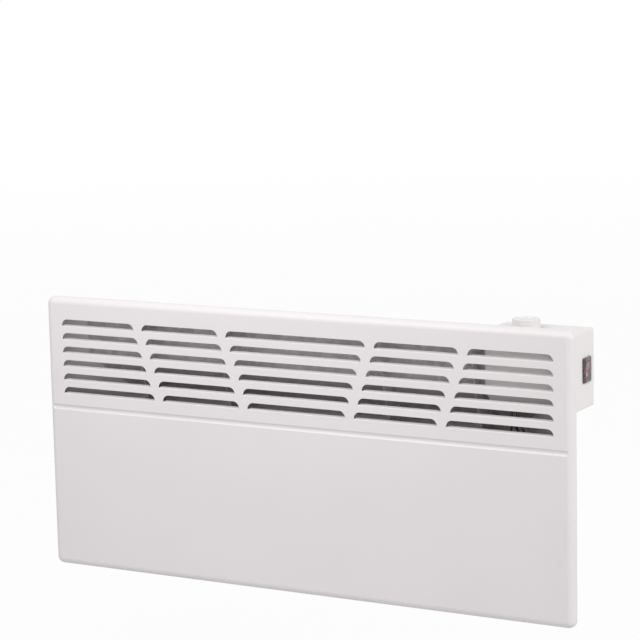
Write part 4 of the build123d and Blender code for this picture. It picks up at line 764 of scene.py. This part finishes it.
class HEATER_OT_controls(bpy.types.Operator):
    """Finishes the thermostat, its sensor, the overheat cutout and the terminal block"""
    bl_idname = "heater.controls"
    bl_label = "Controls"

    def execute(self, context):
        dress(phenolic(srgb("#4A3023")), "thermostat_body", "thermal_cutout")
        # Drawn copper, darkened by handling.
        copper = drawn_metal("drawn_copper", srgb("#7D5D4B"), srgb("#5F493D"), patch_mm=14, roughness=0.42)
        dress(copper, "sensor_bulb", "capillary_tube")
        # Undyed nylon: milky off-white, faintly glossy.
        nylon = moulded_plastic("natural_nylon", context.scene.heater_colours.gland, roughness=0.4,
                                grain_mm=1.2, grain_height_mm=0.01)
        dress(nylon, "cable_gland", "gland_nut", "terminal_block")
        # Moulded rubber, matt and black.
        rubber = moulded_plastic("moulded_rubber", srgb("#2B2A29"), roughness=0.75, grain_mm=1.0,
                                 grain_height_mm=0.03, ior=1.52)
        dress(rubber, "lead_grommet")
        return {"FINISHED"}


class HEATER_OT_leads(bpy.types.Operator):
    """Colours the inner leads by what they carry"""
    bl_idname = "heater.leads"
    bl_label = "Inner Leads"

    def execute(self, context):
        dress(silicone_lead("brown_silicone", srgb("#86705F")), "lead_supply", "lead_switched", "lead_heater",
              "lead_cutout")
        dress(silicone_lead("blue_silicone", srgb("#6C7E92")), "lead_neutral")
        dress(silicone_lead("green_yellow_silicone", srgb("#6F8468"), srgb("#B3A96E")), "lead_earth")
        return {"FINISHED"}


class HEATER_OT_stage(bpy.types.Operator):
    """Sets up the camera, the lamps, the world and the paper floor"""
    bl_idname = "heater.stage"
    bl_label = "Studio"

    def execute(self, context):
        studio = context.scene.heater_studio
        place_camera(context.scene)
        light_world(context.scene)
        hang_lamp(context.scene, "key_lamp", studio.key_place, studio.lamp_size, studio.key_power)
        hang_lamp(context.scene, "side_lamp", studio.side_place, studio.lamp_size, studio.side_power)
        lay_floor(context.scene)
        context.scene.view_settings.view_transform = "Standard"
        return {"FINISHED"}


# --- Panel and registration ---------------------------------------------------------------------
STEPS = (
    HEATER_OT_front_panel,
    HEATER_OT_casing,
    HEATER_OT_duct,
    HEATER_OT_element,
    HEATER_OT_screws,
    HEATER_OT_control_box,
    HEATER_OT_knob,
    HEATER_OT_switch,
    HEATER_OT_switch_marks,
    HEATER_OT_knob_scale,
    HEATER_OT_controls,
    HEATER_OT_leads,
    HEATER_OT_stage,
)


class HEATER_PT_sidebar(bpy.types.Panel):
    """Lists the heater's steps in the sidebar"""
    bl_label = "Panel Heater"
    bl_idname = "HEATER_PT_sidebar"
    bl_space_type = "VIEW_3D"
    bl_region_type = "UI"
    bl_category = "Heater"

    def draw(self, context):
        for step in STEPS:
            self.layout.operator(step.bl_idname)
        for group in (context.scene.heater_colours, context.scene.heater_sizes, context.scene.heater_studio):
            box = self.layout.box()
            for name in group.__annotations__:
                box.prop(group, name)


CLASSES = (HeaterColours, HeaterSizes, HeaterStudio, *STEPS, HEATER_PT_sidebar)


def register():
    for cls in CLASSES:
        bpy.utils.register_class(cls)
    bpy.types.Scene.heater_colours = bpy.props.PointerProperty(type=HeaterColours)
    bpy.types.Scene.heater_sizes = bpy.props.PointerProperty(type=HeaterSizes)
    bpy.types.Scene.heater_studio = bpy.props.PointerProperty(type=HeaterStudio)


def unregister():
    del bpy.types.Scene.heater_studio
    del bpy.types.Scene.heater_sizes
    del bpy.types.Scene.heater_colours
    for cls in reversed(CLASSES):
        bpy.utils.unregister_class(cls)


def main():
    """Registers the add-on, runs every step in order and gathers the bounds of the CAD model and of the
    finished scene.
    """
    register()
    for step in STEPS:
        group, name = step.bl_idname.split(".")
        getattr(getattr(bpy.ops, group), name)()
    corners = {"cad": CAD_BOX, "visual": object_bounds()}
    {name: [list(corner) for corner in box] for name, box in corners.items()}


if __name__ == "__main__":
    main()
